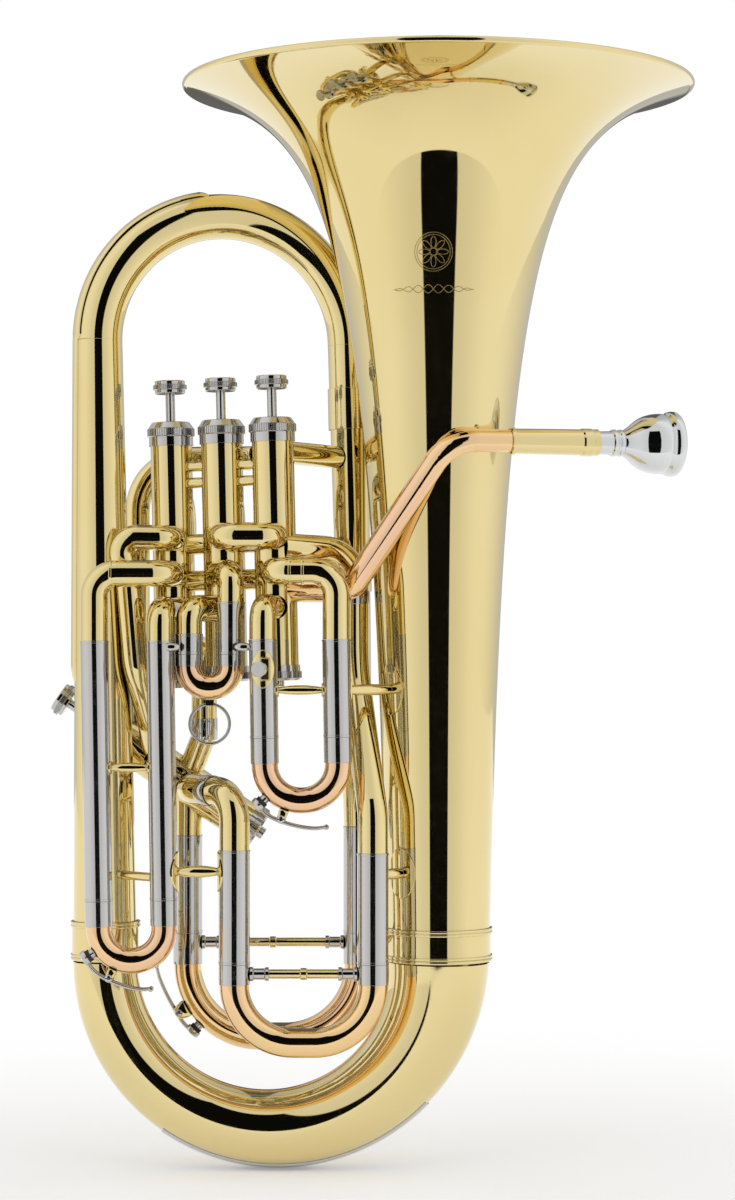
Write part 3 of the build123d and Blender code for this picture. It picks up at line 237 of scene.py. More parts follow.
# closed outlines of (radius, height)
CUP = (
    (3.7, 3.9), (4.35, 3.9), (4.6, 4.15), (4.6, 6.2), (4.2, 7.0),
    (2.8, 7.5), (0.01, 7.7), (0.01, 4.65), (3.7, 4.65),
)
BARREL = ((1.05, -2.9), (2.0, -2.9), (2.3, -2.6), (2.3, 2.6), (2.0, 2.9), (1.05, 2.9))
ROLL = ((0.01, -3.4), (1.0, -3.2), (1.5, -2.4), (1.6, 0.0), (1.5, 2.4), (1.0, 3.2), (0.01, 3.4))
SCREW_R = 2.3
SCREW_HALF_SLOT = 0.28
SCREW_PLATE = ((0.01, 0.0), (SCREW_R, 0.0), (SCREW_R, 0.4), (0.01, 0.4))
SCREW_DOME = ((0.4, 1.0), (0.7, 0.96), (1.0, 0.85), (1.25, 0.6), (1.35, 0.3))       # height, scale
SCREW_OUT = 0.8                 # how far the screw's plate stands off the post's cheek
# the near edge of a post's cheek: angle from the pivot, and height
POST_EDGE = (
    (-5.6, -0.6), (-5.2, 2.2), (-3.8, PIVOT_HEIGHT + 1.0),
    (-2.0, PIVOT_HEIGHT + 2.2), (0.0, PIVOT_HEIGHT + 2.5),
)
POST_MIDDLE_DROP = 1.5          # the cheek's edges ease towards a point this far below the pivot
CHEEK_PROFILE = ((-1.0, 1.0), (0.2, 1.0), (0.7, 0.9), (1.0, 0.7), (1.15, 0.4))      # depth, scale
WIRE_R = 0.22
WIRE_COIL_R = 2.5
WIRE_COIL_START = 2.9
WIRE_COIL_PITCH = 0.45
WIRE_TURNS = 2.0
WIRE_STEPS = 40
WIRE_WALL = 0.2                 # every spring's wire is a tube with this wall

# ---------------------------------------------------------------- valve springs, in millimetres
SPRING_R = 7.5
SPRING_WIRE = 0.4
SPRING_TURNS = 7
SPRING_CLOSING = 0.045          # how much closer the end turns lie


# ---------------------------------------------------------------- node helpers
class Shader:
    """A material or world node tree, with short calls that add and join its nodes."""

    def __init__(self, owner):
        owner.use_nodes = True
        self.tree = owner.node_tree
        self.tree.nodes.clear()

    def add(self, kind, **settings):
        """Makes a node of a kind, with its settings."""
        node = self.tree.nodes.new(kind)
        for name, value in settings.items():
            setattr(node, name, value)
        return node

    def feed(self, socket, value):
        """Puts a number, a colour or another node's output into a socket."""
        if isinstance(value, bpy.types.NodeSocket):
            self.tree.links.new(value, socket)
        elif isinstance(value, tuple) and len(value) == 3 and socket.type == "RGBA":
            socket.default_value = (*value, 1.0)
        else:
            socket.default_value = value

    def math(self, operation, first, second=0.0):
        """One sum, product or function of one or two values."""
        node = self.add("ShaderNodeMath", operation=operation)
        self.feed(node.inputs[0], first)
        self.feed(node.inputs[1], second)
        return node.outputs[0]

    def ramp(self, value, start, end, low=0.0, high=1.0):
        """Runs smoothly from low to high as the value goes from start to end."""
        node = self.add("ShaderNodeMapRange", interpolation_type="SMOOTHSTEP")
        for index, item in enumerate((value, start, end, low, high)):
            self.feed(node.inputs[index], item)
        return node.outputs[0]

    def mix(self, factor, first, second):
        """A colour between two colours."""
        node = self.add("ShaderNodeMix", data_type="RGBA")
        self.feed(node.inputs[0], factor)
        self.feed(node.inputs[6], first)
        self.feed(node.inputs[7], second)
        return node.outputs[2]

    def noise(self, place, scale, detail=3.0, roughness=0.5):
        """Noise from 0 to 1 over a place."""
        node = self.add("ShaderNodeTexNoise")
        self.feed(node.inputs["Vector"], place)
        self.feed(node.inputs["Scale"], scale)
        self.feed(node.inputs["Detail"], detail)
        self.feed(node.inputs["Roughness"], roughness)
        return node.outputs[0]

    def stretched(self, place, scale):
        """A place scaled along its three axes."""
        node = self.add("ShaderNodeMapping")
        self.feed(node.inputs["Vector"], place)
        node.inputs["Scale"].default_value = scale
        return node.outputs[0]

    def bump(self, height, strength, distance, normal=None):
        """The surface's normal, tilted by a height."""
        node = self.add("ShaderNodeBump")
        self.feed(node.inputs["Height"], height)
        self.feed(node.inputs["Strength"], strength)
        self.feed(node.inputs["Distance"], distance)
        if normal is not None:
            self.feed(node.inputs["Normal"], normal)
        return node.outputs[0]


def polished(name, colour, deep, roughness, lacquer, scratches=0.02, edge=0.25 * MM):
    """A polished metal: colour drift, fine scratches, handling marks and painted shade that darkens its corners.
    """
    material = bpy.data.materials.new(name)
    shader = Shader(material)
    place = shader.add("ShaderNodeTexCoord").outputs["Object"]
    cloud = shader.noise(place, DRIFT_SCALE, detail=4.0)
    drift = shader.mix(shader.ramp(cloud, *DRIFT_SPAN), colour, deep)
    # painted shade: occlusion darkens the metal's colour in corners and between parts
    occlusion = shader.add("ShaderNodeAmbientOcclusion", samples=4)
    occlusion.inputs["Distance"].default_value = SHADE_REACH
    unshaded_share = shader.ramp(occlusion.outputs["AO"], *SHADE_SPAN)
    painted_shade = tuple(PAINTED_SHADE_SHARE * channel for channel in deep)
    drift_and_shade = shader.mix(unshaded_share, painted_shade, drift)
    marks = shader.noise(place, MARK_SCALE, detail=5.0, roughness=0.65)
    smear = shader.ramp(marks, *MARK_SPAN, roughness, roughness * SMEAR_SHARE)
    lines = shader.noise(shader.stretched(place, SCRATCH_STRETCH), 1.0, detail=2.0)
    peel = shader.noise(place, PEEL_SCALE, detail=1.0)
    rounded = shader.add("ShaderNodeBevel", samples=4)
    rounded.inputs["Radius"].default_value = edge
    scratched = shader.bump(lines, scratches, SCRATCH_DEPTH, rounded.outputs[0])
    surface = shader.bump(peel, scratches * PEEL_SHARE, PEEL_DEPTH, scratched)
    metal = shader.add("ShaderNodeBsdfPrincipled")
    shader.feed(metal.inputs["Base Color"], drift_and_shade)
    shader.feed(metal.inputs["Metallic"], 1.0)
    shader.feed(metal.inputs["Roughness"], smear)
    shader.feed(metal.inputs["Normal"], surface)
    shader.feed(metal.inputs["Coat Weight"], lacquer)
    shader.feed(metal.inputs["Coat Roughness"], LACQUER_ROUGHNESS)
    out = shader.add("ShaderNodeOutputMaterial")
    shader.feed(out.inputs["Surface"], metal.outputs[0])
    return material


def cork(name):
    """Black rubbery cork: fine grain, pits and a soft sheen."""
    material = bpy.data.materials.new(name)
    shader = Shader(material)
    place = shader.add("ShaderNodeTexCoord").outputs["Object"]
    grain = shader.noise(place, CORK_GRAIN, detail=4.0, roughness=0.7)
    rubber = shader.add("ShaderNodeBsdfPrincipled")
    shader.feed(rubber.inputs["Base Color"], shader.mix(grain, CORK_DARK, CORK_PALE))
    shader.feed(rubber.inputs["Roughness"], shader.ramp(grain, *CORK_SPAN, *CORK_ROUGHNESS))
    shader.feed(rubber.inputs["Normal"], shader.bump(grain, CORK_BUMP, CORK_DEPTH))
    out = shader.add("ShaderNodeOutputMaterial")
    shader.feed(out.inputs["Surface"], rubber.outputs[0])
    return material


def make_finishes():
    """Every finish by its name."""
    metals = {
        "bell_brass": (YELLOW, YELLOW_DEEP, 0.03, LACQUER, {"scratches": 0.012}),
        "yellow_brass": (YELLOW, YELLOW_DEEP, 0.035, LACQUER, {}),
        "etched_brass": (ETCHED, ETCHED_DEEP, 0.38, 0.0, {"scratches": 0.1}),
        "rose_brass": (ROSE, ROSE_DEEP, 0.04, LACQUER, {}),
        "nickel_silver": (NICKEL, NICKEL_DEEP, 0.06, 0.0, {"scratches": 0.035}),
        "silver_plate": (SILVER, SILVER_DEEP, 0.03, 0.0, {}),
        "spring_steel": (STEEL, STEEL_DEEP, 0.2, 0.0, {}),
        "eased_brass": (YELLOW, YELLOW_DEEP, 0.06, LACQUER, {"edge": 1.3 * MM}),
    }
    finishes = {}
    for name, (colour, deep, roughness, lacquer, extras) in metals.items():
        finishes[name] = polished(name, colour, deep, roughness, lacquer, **extras)
    finishes["black_cork"] = cork("black_cork")
    return finishes


FINISHES = make_finishes()


def clothe_nodes():
    """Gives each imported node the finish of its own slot."""
    for row in frame["record"]["subparts"]:
        node = NODES[row["node"]]
        node.data.materials.clear()
        finish = "eased_brass" if row["node"] == "lyre_holder" else row["material_slot"]
        node.data.materials.append(FINISHES[finish])


# ---------------------------------------------------------------- mesh helpers
def at(x, y, z):
    """A point in millimetres from the bell's axis, in the frame's metres."""
    return Vector((x + BELL_X, y, z)) * MM


def piece(name, shape, finish, body="root", sharp=35.0):
    """Turns a bmesh into a smooth-shaded piece that rides on a body."""
    mesh = bpy.data.meshes.new(name)
    bmesh.ops.remove_doubles(shape, verts=shape.verts, dist=WELD_DISTANCE)
    bmesh.ops.recalc_face_normals(shape, faces=shape.faces)
    shape.to_mesh(mesh)
    shape.free()
    mesh.polygons.foreach_set("use_smooth", [True] * len(mesh.polygons))
    mesh.set_sharp_from_angle(angle=math.radians(sharp))
    mesh.materials.append(FINISHES[finish])
    made = bpy.data.objects.new(name, mesh)
    bpy.context.scene.collection.objects.link(made)
    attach(made, body)
    return made


def skin(shape, rings, closed=False):
    """Joins equal rings of points with quads, each ring closed on itself, and returns their vertices."""
    rows = [[shape.verts.new(point) for point in ring] for ring in rings]
    if closed:
        rows.append(rows[0])
    for low, high in zip(rows, rows[1:]):
        for index in range(len(low)):
            after = (index + 1) % len(low)
            shape.faces.new((low[index], low[after], high[after], high[index]))
    return rows


def capped_skin(shape, rings):
    """A skin with a face over its first ring and one over its last."""
    rows = skin(shape, rings)
    shape.faces.new(rows[0])
    shape.faces.new(rows[-1])


def lathe(shape, outline, place, segments=96):
    """Turns a closed outline of (radius, height) in millimetres round the place's Z axis."""
    rings = []
    for step in range(segments):
        turn = 2 * math.pi * step / segments
        across = Vector((math.cos(turn), math.sin(turn), 0.0))
        spots = [across * radius + Vector((0, 0, height)) for radius, height in outline]
        rings.append([place @ (spot * MM) for spot in spots])
    skin(shape, rings, closed=True)


def along(start, direction):
    """The placement whose Z axis starts at a point and runs along a direction."""
    turn = Vector(direction).to_track_quat("Z", "Y")
    return Matrix.Translation(start) @ turn.to_matrix().to_4x4()


def tube_rings(line, radius_at, segments):
    """Rings round a line of points, without twist."""
    rings = []
    side = None
    last = len(line) - 1
    for index, point in enumerate(line):
        ahead = (line[min(index + 1, last)] - line[max(index - 1, 0)]).normalized()
        if side is None:
            side = ahead.orthogonal().normalized()
        side = (side - ahead * side.dot(ahead)).normalized()
        up = ahead.cross(side)
        radius = radius_at(index / last) * MM
        ring = []
        for step in range(segments):
            turn = 2 * math.pi * step / segments
            ring.append(point + (side * math.cos(turn) + up * math.sin(turn)) * radius)
        rings.append(ring)
    return rings


def tube(shape, line, radius_at, wall=SHEET, segments=80):
    """A hollow tube along a line: its outside, its bore and its two end rings."""
    outside = tube_rings(line, radius_at, segments)
    bore = tube_rings(line, lambda share: radius_at(share) - wall, segments)
    skin(shape, outside + bore[::-1], closed=True)


def through(radii):
    """A radius that runs smoothly through three radii, at the start, middle and end."""
    first, middle, last = radii

    def radius_at(share):
        near = (1 - share) * (1 - 2 * share)
        centre = 4 * share * (1 - share)
        far = share * (2 * share - 1)
        return first * near + middle * centre + last * far

    return radius_at


# ---------------------------------------------------------------- bell, bows and branches
def horn_radius(depth):
    """The bell's outer radius at a depth below its mouth, in millimetres."""
    return HORN_SCALE * (depth + HORN_SHIFT) ** -HORN_POWER - HORN_DROP + HORN_TAPER * depth


def horn_point(depth, inset=0.0):
    """A point of the bell's profile, moved inwards by the inset."""
    step = 0.05
    slope = (horn_radius(depth + step) - horn_radius(depth)) / step
    length = math.hypot(1.0, slope)
    return (horn_radius(depth) - inset / length, MOUTH_Z - depth - inset * slope / length)


def make_bell():
    """The flared bell, turned smooth, with its rolled rim."""
    steps = 150
    total = MOUTH_Z - BELL_FOOT_Z
    shares = [(step / steps) ** DEPTH_POWER for step in range(steps + 1)]
    depths = [FIRST_DEPTH + (total - FIRST_DEPTH) * share for share in shares]
    wire_r = horn_radius(0.0) - RIM_WIRE / 2
    wire_z = MOUTH_Z + RIM_WIRE - SHEET
    flat = math.degrees(math.asin((RIM_TOP - wire_z) / RIM_WIRE))

    def on_wire(angle):
        turn = math.radians(angle)
        return (wire_r + RIM_WIRE * math.cos(turn), wire_z + RIM_WIRE * math.sin(turn))

    outline = [horn_point(depth) for depth in reversed(depths)]
    outline += [on_wire(RIM_START_ANGLE + (flat - RIM_START_ANGLE) * step / 12) for step in range(13)]
    outline += [on_wire(180 - flat + (RIM_TUCK_ANGLE + flat) * step / 10) for step in range(11)]
    outline += [horn_point(depth, SHEET) for depth in depths]
    shape = bmesh.new()
    lathe(shape, outline, Matrix.Translation((BELL_X * MM, 0, 0)), segments=256)
    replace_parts(piece("bell_flare", shape, "bell_brass"), "bell")


def half_round(first, last, height, direction, steps=120):
    """The centre line of a half-round bow between two upright tubes."""
    start = at(first.x, first.y, height)
    end = at(last.x, last.y, height)
    centre = (start + end) / 2
    arm = start - centre
    drop = Vector((0, 0, direction * arm.length))
    turns = [math.pi * step / steps for step in range(steps + 1)]
    return [centre + arm * math.cos(turn) + drop * math.sin(turn) for turn in turns]


def straight(first, last, steps=40):
    """The centre line of a straight tube."""
    start = at(*first)
    end = at(*last)
    return [start.lerp(end, step / steps) for step in range(steps + 1)]


def make_body():
    """The bows and branches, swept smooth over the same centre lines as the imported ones."""
    tubes = (
        ("bottom_bow", half_round(Vector((0, 0, 0)), LEFT_FOOT, BOTTOM_BOW_Z, -1), BOTTOM_RADII),
        ("left_branch", straight(LEFT_FOOT, LEFT_TOP), LEFT_RADII),
        ("top_bow", half_round(LEFT_TOP, RIGHT_TOP, LEFT_TOP.z, 1), TOP_RADII),
        ("right_branch", straight(RIGHT_TOP, RIGHT_FOOT), RIGHT_RADII),
    )
    for node, line, radii in tubes:
        shape = bmesh.new()
        tube(shape, line, through(radii))
        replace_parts(piece(f"{node}_tube", shape, "yellow_brass"), node)


def guard_section(centre, outward, ahead, radius, thickness, steps=16):
    """The guard's cross-section: a thin crescent on a tube, round at both edges."""
    across = ahead.cross(outward)
    widest = math.asin(GUARD_HALF_WIDTH / radius)
    outer = []
    inner = []
    for step in range(steps + 1):
        share = 2.0 * step / steps - 1.0
        turn = widest * share
        spoke = outward * math.cos(turn) + across * math.sin(turn)
        bulge = thickness * math.sqrt(max(0.0, 1.0 - abs(share) ** 3))
        outer.append(centre + spoke * (radius + GUARD_LIFT + bulge) * MM)
        inner.append(centre + spoke * (radius - GUARD_SINK) * MM)
    return outer + inner[::-1]


def make_hand_guard():
    """The raised strip outside the left branch and the top bow, with rounded edges and ends."""
    stations = []
    foot_share = (GUARD_FOOT_Z - LEFT_FOOT.z) / (LEFT_TOP.z - LEFT_FOOT.z)
    branch_r = through(LEFT_RADII)
    bow_r = through(TOP_RADII)
    for step in range(GUARD_BRANCH_STEPS + 1):
        share = foot_share + (1.0 - foot_share) * step / GUARD_BRANCH_STEPS
        spot = LEFT_FOOT.lerp(LEFT_TOP, share)
        stations.append((at(*spot), Vector((-1, 0, 0)), branch_r(share)))
    bow = half_round(LEFT_TOP, RIGHT_TOP, LEFT_TOP.z, 1, steps=GUARD_BOW_STEPS)
    middle = (bow[0] + bow[-1]) / 2
    for step in range(2, int(GUARD_BOW_STEPS * GUARD_BOW_SHARE) + 1):
        stations.append((bow[step], (bow[step] - middle).normalized(), bow_r(step / GUARD_BOW_STEPS)))
    rings = []
    last = len(stations) - 1
    for index, (centre, outward, radius) in enumerate(stations):
        ahead = (stations[min(index + 1, last)][0] - stations[max(index - 1, 0)][0]).normalized()
        end = min(index, last - index) / GUARD_END_STEPS
        thickness = GUARD_PROUD * math.sqrt(min(1.0, end + 0.02))
        rings.append(guard_section(centre, outward, ahead, radius, thickness))
    shape = bmesh.new()
    capped_skin(shape, rings)
    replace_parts(piece("hand_guard_strip", shape, "yellow_brass"), "hand_guard")


# ---------------------------------------------------------------- engraving
def on_bell(across, height, proud):
    """A point of the bell's front, a given way across it and up it."""
    radius = horn_radius(MOUTH_Z - height)
    turn = -math.pi / 2 + across / radius
    reach = radius + proud
    return at(reach * math.cos(turn), reach * math.sin(turn), height)


def engrave(shape, points, closed=False):
    """One fine engraved line: a low, narrow ribbon on the bell."""
    count = len(points)
    rows = []
    for index, (x, z) in enumerate(points):
        after = points[(index + 1) % count] if closed else points[min(index + 1, count - 1)]
        before = points[index - 1] if closed else points[max(index - 1, 0)]
        run = Vector((after[0] - before[0], after[1] - before[1])).normalized() * LINE_WIDTH / 2
        sides = ((x - run.y, z + run.x), (x + run.y, z - run.x))
        ring = [on_bell(*sides[0], -LINE_SINK), on_bell(*sides[0], LINE_PROUD / 2)]
        ring += [on_bell(x, z, LINE_PROUD)]
        ring += [on_bell(*sides[1], LINE_PROUD / 2), on_bell(*sides[1], -LINE_SINK)]
        rows.append(ring)
    skin(shape, rows, closed=closed)


def make_engraving():
    """A rosette of eight petals in two rings, over a band of two crossing waves."""
    shape = bmesh.new()
    middle_x, middle_z = ROSETTE
    for radius in (ROSETTE_R, ROSETTE_R - ROSETTE_GAP, ROSETTE_EYE_R):
        turns = [2 * math.pi * step / CIRCLE_STEPS for step in range(CIRCLE_STEPS)]
        circle = [(middle_x + radius * math.cos(t), middle_z + radius * math.sin(t)) for t in turns]
        engrave(shape, circle, closed=True)
    for petal in range(PETALS):
        turn = 2 * math.pi * petal / PETALS
        outline = []
        for step in range(PETAL_STEPS):
            swing = 2 * math.pi * step / PETAL_STEPS
            reach = PETAL_MIDDLE + PETAL_HALF_LENGTH * math.cos(swing)
            side = PETAL_HALF_WIDTH * math.sin(swing)
            outline.append((
                middle_x + reach * math.cos(turn) - side * math.sin(turn),
                middle_z + reach * math.sin(turn) + side * math.cos(turn),
            ))
        engrave(shape, outline, closed=True)
    for sign in (-1, 1):
        wave = []
        for step in range(BRAID_STEPS + 1):
            x = BRAID_HALF * (2 * step / BRAID_STEPS - 1)
            fade = 1.0 - (x / BRAID_HALF) ** 2
            rise = BRAID_RISE * fade * math.sin(x * math.pi / BRAID_HALF_WAVE)
            wave.append((middle_x + x, BRAID_Z + sign * rise))
        engrave(shape, wave)
    piece("bell_engraving", shape, "etched_brass")


# ---------------------------------------------------------------- small fittings
def band(shape, centre, direction, radius, length, proud):
    """A thin collar round a tube, with its edges eased."""
    half = length / 2
    outline = [
        (radius - BAND_SINK, -half),
        (radius + proud * BAND_EASE_SHARE, -half),
        (radius + proud, BAND_EASE - half),
        (radius + proud, half - BAND_EASE),
        (radius + proud * BAND_EASE_SHARE, half),
        (radius - BAND_SINK, half),
    ]
    lathe(shape, outline, along(at(*centre), direction), segments=80)


def make_collars():
    """Solder rings, the nickel ferrules of the connecting tubes and the beads of the big joints."""
    rings = bmesh.new()
    for centre, direction, radius in SOLDER_RINGS:
        band(rings, centre, direction, radius, RING_LENGTH, RING_PROUD)
    piece("solder_rings", rings, "yellow_brass")
    ferrules = bmesh.new()
    for centre, direction, radius, length in FERRULES:
        band(ferrules, centre, direction, radius, length, FERRULE_PROUD)
    piece("tube_ferrules", ferrules, "nickel_silver")
    beads = bmesh.new()
    for (x, y), radius, heights in JOINT_BEADS:
        for height in heights:
            for lift in (-BEAD_HALF_PITCH, BEAD_HALF_PITCH):
                band(beads, (x, y, height + lift), (0, 0, 1), radius, BEAD_LENGTH, BEAD_PROUD)
    piece("joint_beads", beads, "yellow_brass")


def make_connectors():
    """Small oval plates that tie the second slide's sleeves to their neighbours."""
    shape = bmesh.new()
    for x, y, z in CONNECTORS:
        rings = []
        for depth, scale in CONNECTOR_PROFILE:
            ring = []
            for step in range(CONNECTOR_SIDES):
                turn = 2 * math.pi * step / CONNECTOR_SIDES
                across = CONNECTOR_HALF_WIDTH * scale * math.cos(turn)
                rise = CONNECTOR_HALF_HEIGHT * scale * math.sin(turn)
                ring.append(at(x + across, y + depth, z + rise))
            rings.append(ring)
        capped_skin(shape, rings)
    piece("connector_plates", shape, "nickel_silver")


def half_disc(shape, place, radius, gap, profile, side, steps=14):
    """One half of a slotted, domed screw head; profile gives (height, scale) pairs."""
    edge = math.asin(gap / radius)
    turns = [edge + (math.pi - 2 * edge) * step / steps for step in range(steps + 1)]
    loop = [Vector((radius * math.cos(turn), side * radius * math.sin(turn), 0.0)) for turn in turns]
    rings = []
    for height, scale in profile:
        lift = Vector((0.0, side * gap * (1.0 - scale), height))
        rings.append([place @ ((spot * scale + lift) * MM) for spot in loop])
    capped_skin(shape, rings)


class WaterKey:
    """Where a water key sits: polar places round its crook's bend."""

    def __init__(self, slide, middle, outer, cork, pivot, tip):
        self.slide = slide
        self.middle = at(*middle)
        self.outer = outer
        self.cork = cork
        self.pivot = pivot
        self.tip = tip

    def spot(self, angle, height, side=0.0):
        """A point at an angle of the bend, above the crook's outside and to one side of its plane."""
        turn = math.radians(angle)
        reach = self.outer + height
        return self.middle + Vector((reach * math.cos(turn), side, reach * math.sin(turn))) * MM


def smooth_line(knots, steps):
    """A Catmull-Rom curve through the knots."""
    padded = [2 * knots[0] - knots[1], *knots, 2 * knots[-1] - knots[-2]]
    line = []
    for first, second, third, fourth in zip(padded, padded[1:], padded[2:], padded[3:]):
        for step in range(steps):
            t = step / steps
            line.append(0.5 * (
                2 * second + (third - first) * t
                + (2 * first - 5 * second + 4 * third - fourth) * t ** 2
                + (3 * second - first - 3 * third + fourth) * t ** 3
            ))
    return line + [knots[-1]]


def make_key_lever(key):
    """A forged lever with its cork cup, barrel and rolled tip."""
    middle = (key.cork + key.pivot) / 2
    knots = [
        key.spot(key.cork, LEVER_FOOT_HEIGHT),
        key.spot(middle, LEVER_NECK_HEIGHT),
        key.spot(key.pivot, PIVOT_HEIGHT + LEVER_OVER_PIVOT),
        *(key.spot(key.pivot * (1 - share) + key.tip * share, height) for share, height in LEVER_ARM),
        key.spot(key.tip, LEVER_TIP_HEIGHT),
    ]
    line = smooth_line(knots, LEVER_STEPS)
    half_width = through(LEVER_HALF_WIDTHS)
    half_depth = through(LEVER_HALF_DEPTHS)
    last = len(line) - 1
    rings = []
    for index, spot in enumerate(line):
        ahead = (line[min(index + 1, last)] - line[max(index - 1, 0)]).normalized()
        out = ahead.cross(Vector((0, 1, 0)))
        share = index / last
        end = min(1.0, math.sqrt(min(index, last - index) / 2.0 + 0.05))
        ring = []
        for step in range(LEVER_SIDES):
            turn = 2 * math.pi * step / LEVER_SIDES
            side = half_width(share) * math.cos(turn) * end
            depth = half_depth(share) * math.sin(turn) * end
            ring.append(spot + (Vector((0, side, 0)) + out * depth) * MM)
        rings.append(ring)
    shape = bmesh.new()
    capped_skin(shape, rings)
    foot = key.spot(key.cork, 0.0)
    outward = (key.spot(key.cork, 10.0) - foot).normalized()
    lathe(shape, CUP, along(foot, outward), segments=48)
    lathe(shape, BARREL, along(key.spot(key.pivot, PIVOT_HEIGHT), (0, 1, 0)), segments=40)
    lathe(shape, ROLL, along(key.spot(key.tip, LEVER_TIP_HEIGHT), (0, 1, 0)), segments=32)
    lever = piece(f"{key.slide}_key_lever", shape, "nickel_silver", f"{key.slide}_key")
    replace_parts(lever, f"{key.slide}_water_key")


def make_key_post(key):
    """The brass cheeks of the key's post, its slotted pivot screw and its wire spring."""
    post = bmesh.new()
    screw = bmesh.new()
    slope = tuple((key.pivot + angle, height) for angle, height in POST_EDGE)
    mirrored = tuple((2 * key.pivot - angle, height) for angle, height in slope[-2::-1])
    middle = key.spot(key.pivot, PIVOT_HEIGHT - POST_MIDDLE_DROP)
    for side in (-1, 1):
        rings = []
        for depth, scale in CHEEK_PROFILE:
            lift = Vector((0, side * (SADDLE_HALF + depth) * MM, 0))
            ring = [middle.lerp(key.spot(*corner), scale) + lift for corner in slope + mirrored]
            rings.append(ring)
        capped_skin(post, rings)
        face = along(key.spot(key.pivot, PIVOT_HEIGHT, side * (SADDLE_HALF + SCREW_OUT)), (0, side, 0))
        lathe(screw, SCREW_PLATE, face, segments=40)
        for half in (-1, 1):
            half_disc(screw, face, SCREW_R, SCREW_HALF_SLOT, SCREW_DOME, half)
    piece(f"{key.slide}_key_post", post, "yellow_brass", f"{key.slide}_slide")
    piece(f"{key.slide}_pivot_screw", screw, "nickel_silver", f"{key.slide}_slide")
    wire = bmesh.new()
    pivot = key.spot(key.pivot, PIVOT_HEIGHT)
    for side in (-1, 1):
        coil = []
        for step in range(WIRE_STEPS + 1):
            share = step / WIRE_STEPS
            turn = 2 * math.pi * WIRE_TURNS * share
            shift = side * (WIRE_COIL_START + WIRE_COIL_PITCH * share)
            spot = Vector((WIRE_COIL_R * math.cos(turn), shift, WIRE_COIL_R * math.sin(turn)))
            coil.append(pivot + spot * MM)
        tube(wire, coil, lambda share: WIRE_R, wall=WIRE_WALL, segments=10)
    piece(f"{key.slide}_key_spring", wire, "spring_steel", f"{key.slide}_slide")


def make_valve_springs():
    """Each valve's coil spring, wound over the imported spring's length along its piston's axis."""
    joints = {joint["name"]: joint for joint in frame["joints"]}
    for number in range(1, 5):
        joint = joints[f"valve_{number}_press"]
        node = NODES[f"valve_spring_{number}"]
        down = Vector(joint["axis"]).normalized()
        spots = [vertex.co for vertex in node.data.vertices]
        middle = sum(spots, Vector()) / len(spots)
        reaches = [(spot - middle).dot(down) for spot in spots]
        foot = middle + down * (max(reaches) - SPRING_WIRE * MM)
        length = (max(reaches) - min(reaches)) / MM - 2 * SPRING_WIRE
        place = along(foot, -down)
        coil = []
        steps = 32 * SPRING_TURNS
        for step in range(steps + 1):
            share = step / steps
            turn = 2 * math.pi * SPRING_TURNS * share
            rise = length * (share - SPRING_CLOSING * math.sin(2 * math.pi * share))
            spot = Vector((SPRING_R * math.cos(turn), SPRING_R * math.sin(turn), rise))
            coil.append(place @ (spot * MM))
        shape = bmesh.new()
        tube(shape, coil, lambda share: SPRING_WIRE, wall=WIRE_WALL, segments=12)
        spring = piece(f"valve_coil_{number}", shape, "spring_steel")
        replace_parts(spring, f"valve_spring_{number}")
        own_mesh(spring)


def make_keys():
    """The lever, post, screw and springs of each water key."""
    for layout in KEYS:
        key = WaterKey(*layout)
        make_key_lever(key)
        make_key_post(key)


# ---------------------------------------------------------------- stage
def make_world():
    """White surroundings with soft panels left and right, and a dark gap between them in front."""
    world = bpy.data.worlds.new("studio")
    bpy.context.scene.world = world
    shader = Shader(world)
    view = shader.add("ShaderNodeTexCoord").outputs["Generated"]
    split = shader.add("ShaderNodeSeparateXYZ")
    shader.feed(split.inputs[0], view)
    x, y, z = split.outputs
    backwards = shader.math("MULTIPLY", y, -1.0)
    azimuth = shader.math("ABSOLUTE", shader.math("ARCTAN2", x, backwards))
    height = shader.math("ARCSINE", z)
    soft = math.radians(GAP_SOFT_EDGE)
    gap = math.radians(GAP_HALF_ANGLE)
    rear = math.pi - math.radians(REAR_GAP_HALF_ANGLE)
    beside_gap = shader.ramp(azimuth, gap - soft, gap + soft)
    above_gap = shader.ramp(height, math.radians(GAP_TOP) - soft, math.radians(GAP_TOP) + soft)
    not_rear = shader.ramp(azimuth, rear - soft, rear + soft, 1.0, REAR_GAP_SHARE)
    is_open = shader.math("MAXIMUM", beside_gap, above_gap)
    is_open = shader.math("MULTIPLY", is_open, not_rear)
    near_gap = shader.ramp(azimuth, gap, math.radians(PANEL_FULL_ANGLE), PANEL_NEAR_GAP, PANEL_FULL)
    falling = shader.ramp(azimuth, math.radians(PANEL_FALL_ANGLE), math.pi, 1.0, PANEL_REAR_SHARE)
    panels = shader.math("MULTIPLY", near_gap, falling)
    glow = shader.math("MULTIPLY", panels, is_open)
    glow = shader.math("ADD", glow, GAP_GLOW)
    is_camera = shader.add("ShaderNodeLightPath").outputs["Is Camera Ray"]
    strength = shader.math("MAXIMUM", glow, is_camera)
    background = shader.add("ShaderNodeBackground")
    shader.feed(background.inputs["Color"], (1.0, 1.0, 1.0))
    shader.feed(background.inputs["Strength"], strength)
    out = shader.add("ShaderNodeOutputWorld")
    shader.feed(out.inputs["Surface"], background.outputs[0])


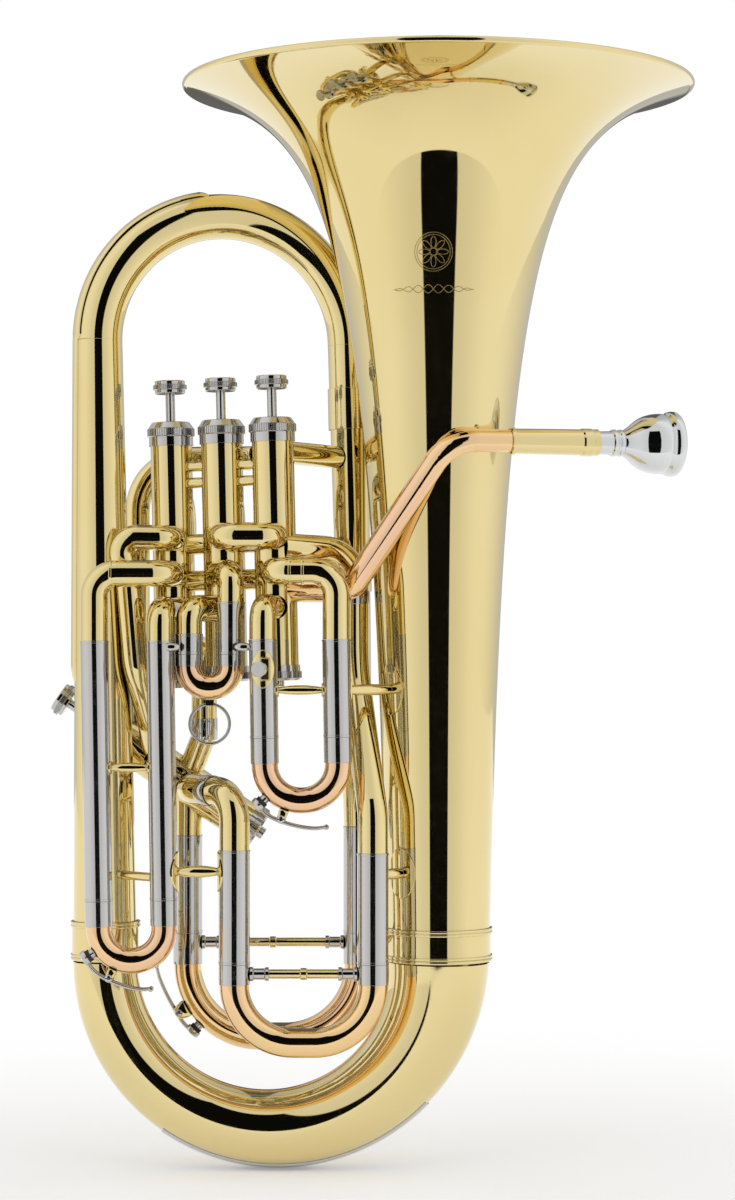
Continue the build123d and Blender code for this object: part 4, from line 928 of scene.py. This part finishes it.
def make_floor():
    """A white floor that fades into the white surroundings, with a soft shadow near the instrument."""
    mesh = bpy.data.meshes.new("floor")
    shape = bmesh.new()
    bmesh.ops.create_grid(shape, x_segments=8, y_segments=8, size=FLOOR_HALF_SIZE)
    shape.to_mesh(mesh)
    shape.free()
    floor = bpy.data.objects.new("floor", mesh)
    bpy.context.scene.collection.objects.link(floor)
    floor.location = (0.0, 0.0, -FLOOR_DROP)
    material = bpy.data.materials.new("pale_floor")
    shader = Shader(material)
    where = shader.add("ShaderNodeNewGeometry").outputs["Position"]
    length = shader.add("ShaderNodeVectorMath", operation="LENGTH")
    shader.feed(length.inputs[0], where)
    distance = length.outputs["Value"]
    diffuse = shader.add("ShaderNodeBsdfDiffuse")
    grain = shader.noise(where, FLOOR_GRAIN)
    shader.feed(diffuse.inputs["Color"], shader.mix(grain, FLOOR_DARK, FLOOR_PALE))
    lift = shader.add("ShaderNodeEmission")
    shader.feed(lift.inputs["Strength"], FLOOR_GLOW)
    lifted = shader.add("ShaderNodeAddShader")
    shader.feed(lifted.inputs[0], diffuse.outputs[0])
    shader.feed(lifted.inputs[1], lift.outputs[0])
    glow = shader.add("ShaderNodeEmission")
    fade = shader.add("ShaderNodeMixShader")
    shader.feed(fade.inputs[0], shader.ramp(distance, FLOOR_FADE_START, FLOOR_FADE_END))
    shader.feed(fade.inputs[1], lifted.outputs[0])
    shader.feed(fade.inputs[2], glow.outputs[0])
    split = shader.add("ShaderNodeSeparateXYZ")
    shader.feed(split.inputs[0], where)
    in_front = shader.math("LESS_THAN", split.outputs[1], PLATE_FRONT)
    is_glossy = shader.add("ShaderNodeLightPath").outputs["Is Glossy Ray"]
    clear = shader.add("ShaderNodeBsdfTransparent")
    pick = shader.add("ShaderNodeMixShader")
    shader.feed(pick.inputs[0], shader.math("MULTIPLY", in_front, is_glossy))
    shader.feed(pick.inputs[1], fade.outputs[0])
    shader.feed(pick.inputs[2], clear.outputs[0])
    out = shader.add("ShaderNodeOutputMaterial")
    shader.feed(out.inputs["Surface"], pick.outputs[0])
    mesh.materials.append(material)


def make_camera():
    """The camera at rest: level, in front of the instrument."""
    camera = bpy.data.cameras.new("camera")
    camera.lens = CAMERA_LENS
    camera.sensor_width = SENSOR_WIDTH
    camera.sensor_fit = "AUTO"
    camera.shift_y = CAMERA_SHIFT
    camera.clip_start = CLIP_NEAR
    camera.clip_end = CLIP_FAR
    holder = bpy.data.objects.new("camera", camera)
    bpy.context.scene.collection.objects.link(holder)
    holder.location = CAMERA_PLACE
    holder.rotation_euler = (math.radians(90.0), 0.0, 0.0)
    bpy.context.scene.camera = holder
    bpy.context.scene.view_settings.view_transform = "Standard"


clothe_nodes()
make_bell()
make_body()
make_hand_guard()
make_engraving()
make_collars()
make_connectors()
make_keys()
make_valve_springs()
make_world()
make_floor()
make_camera()
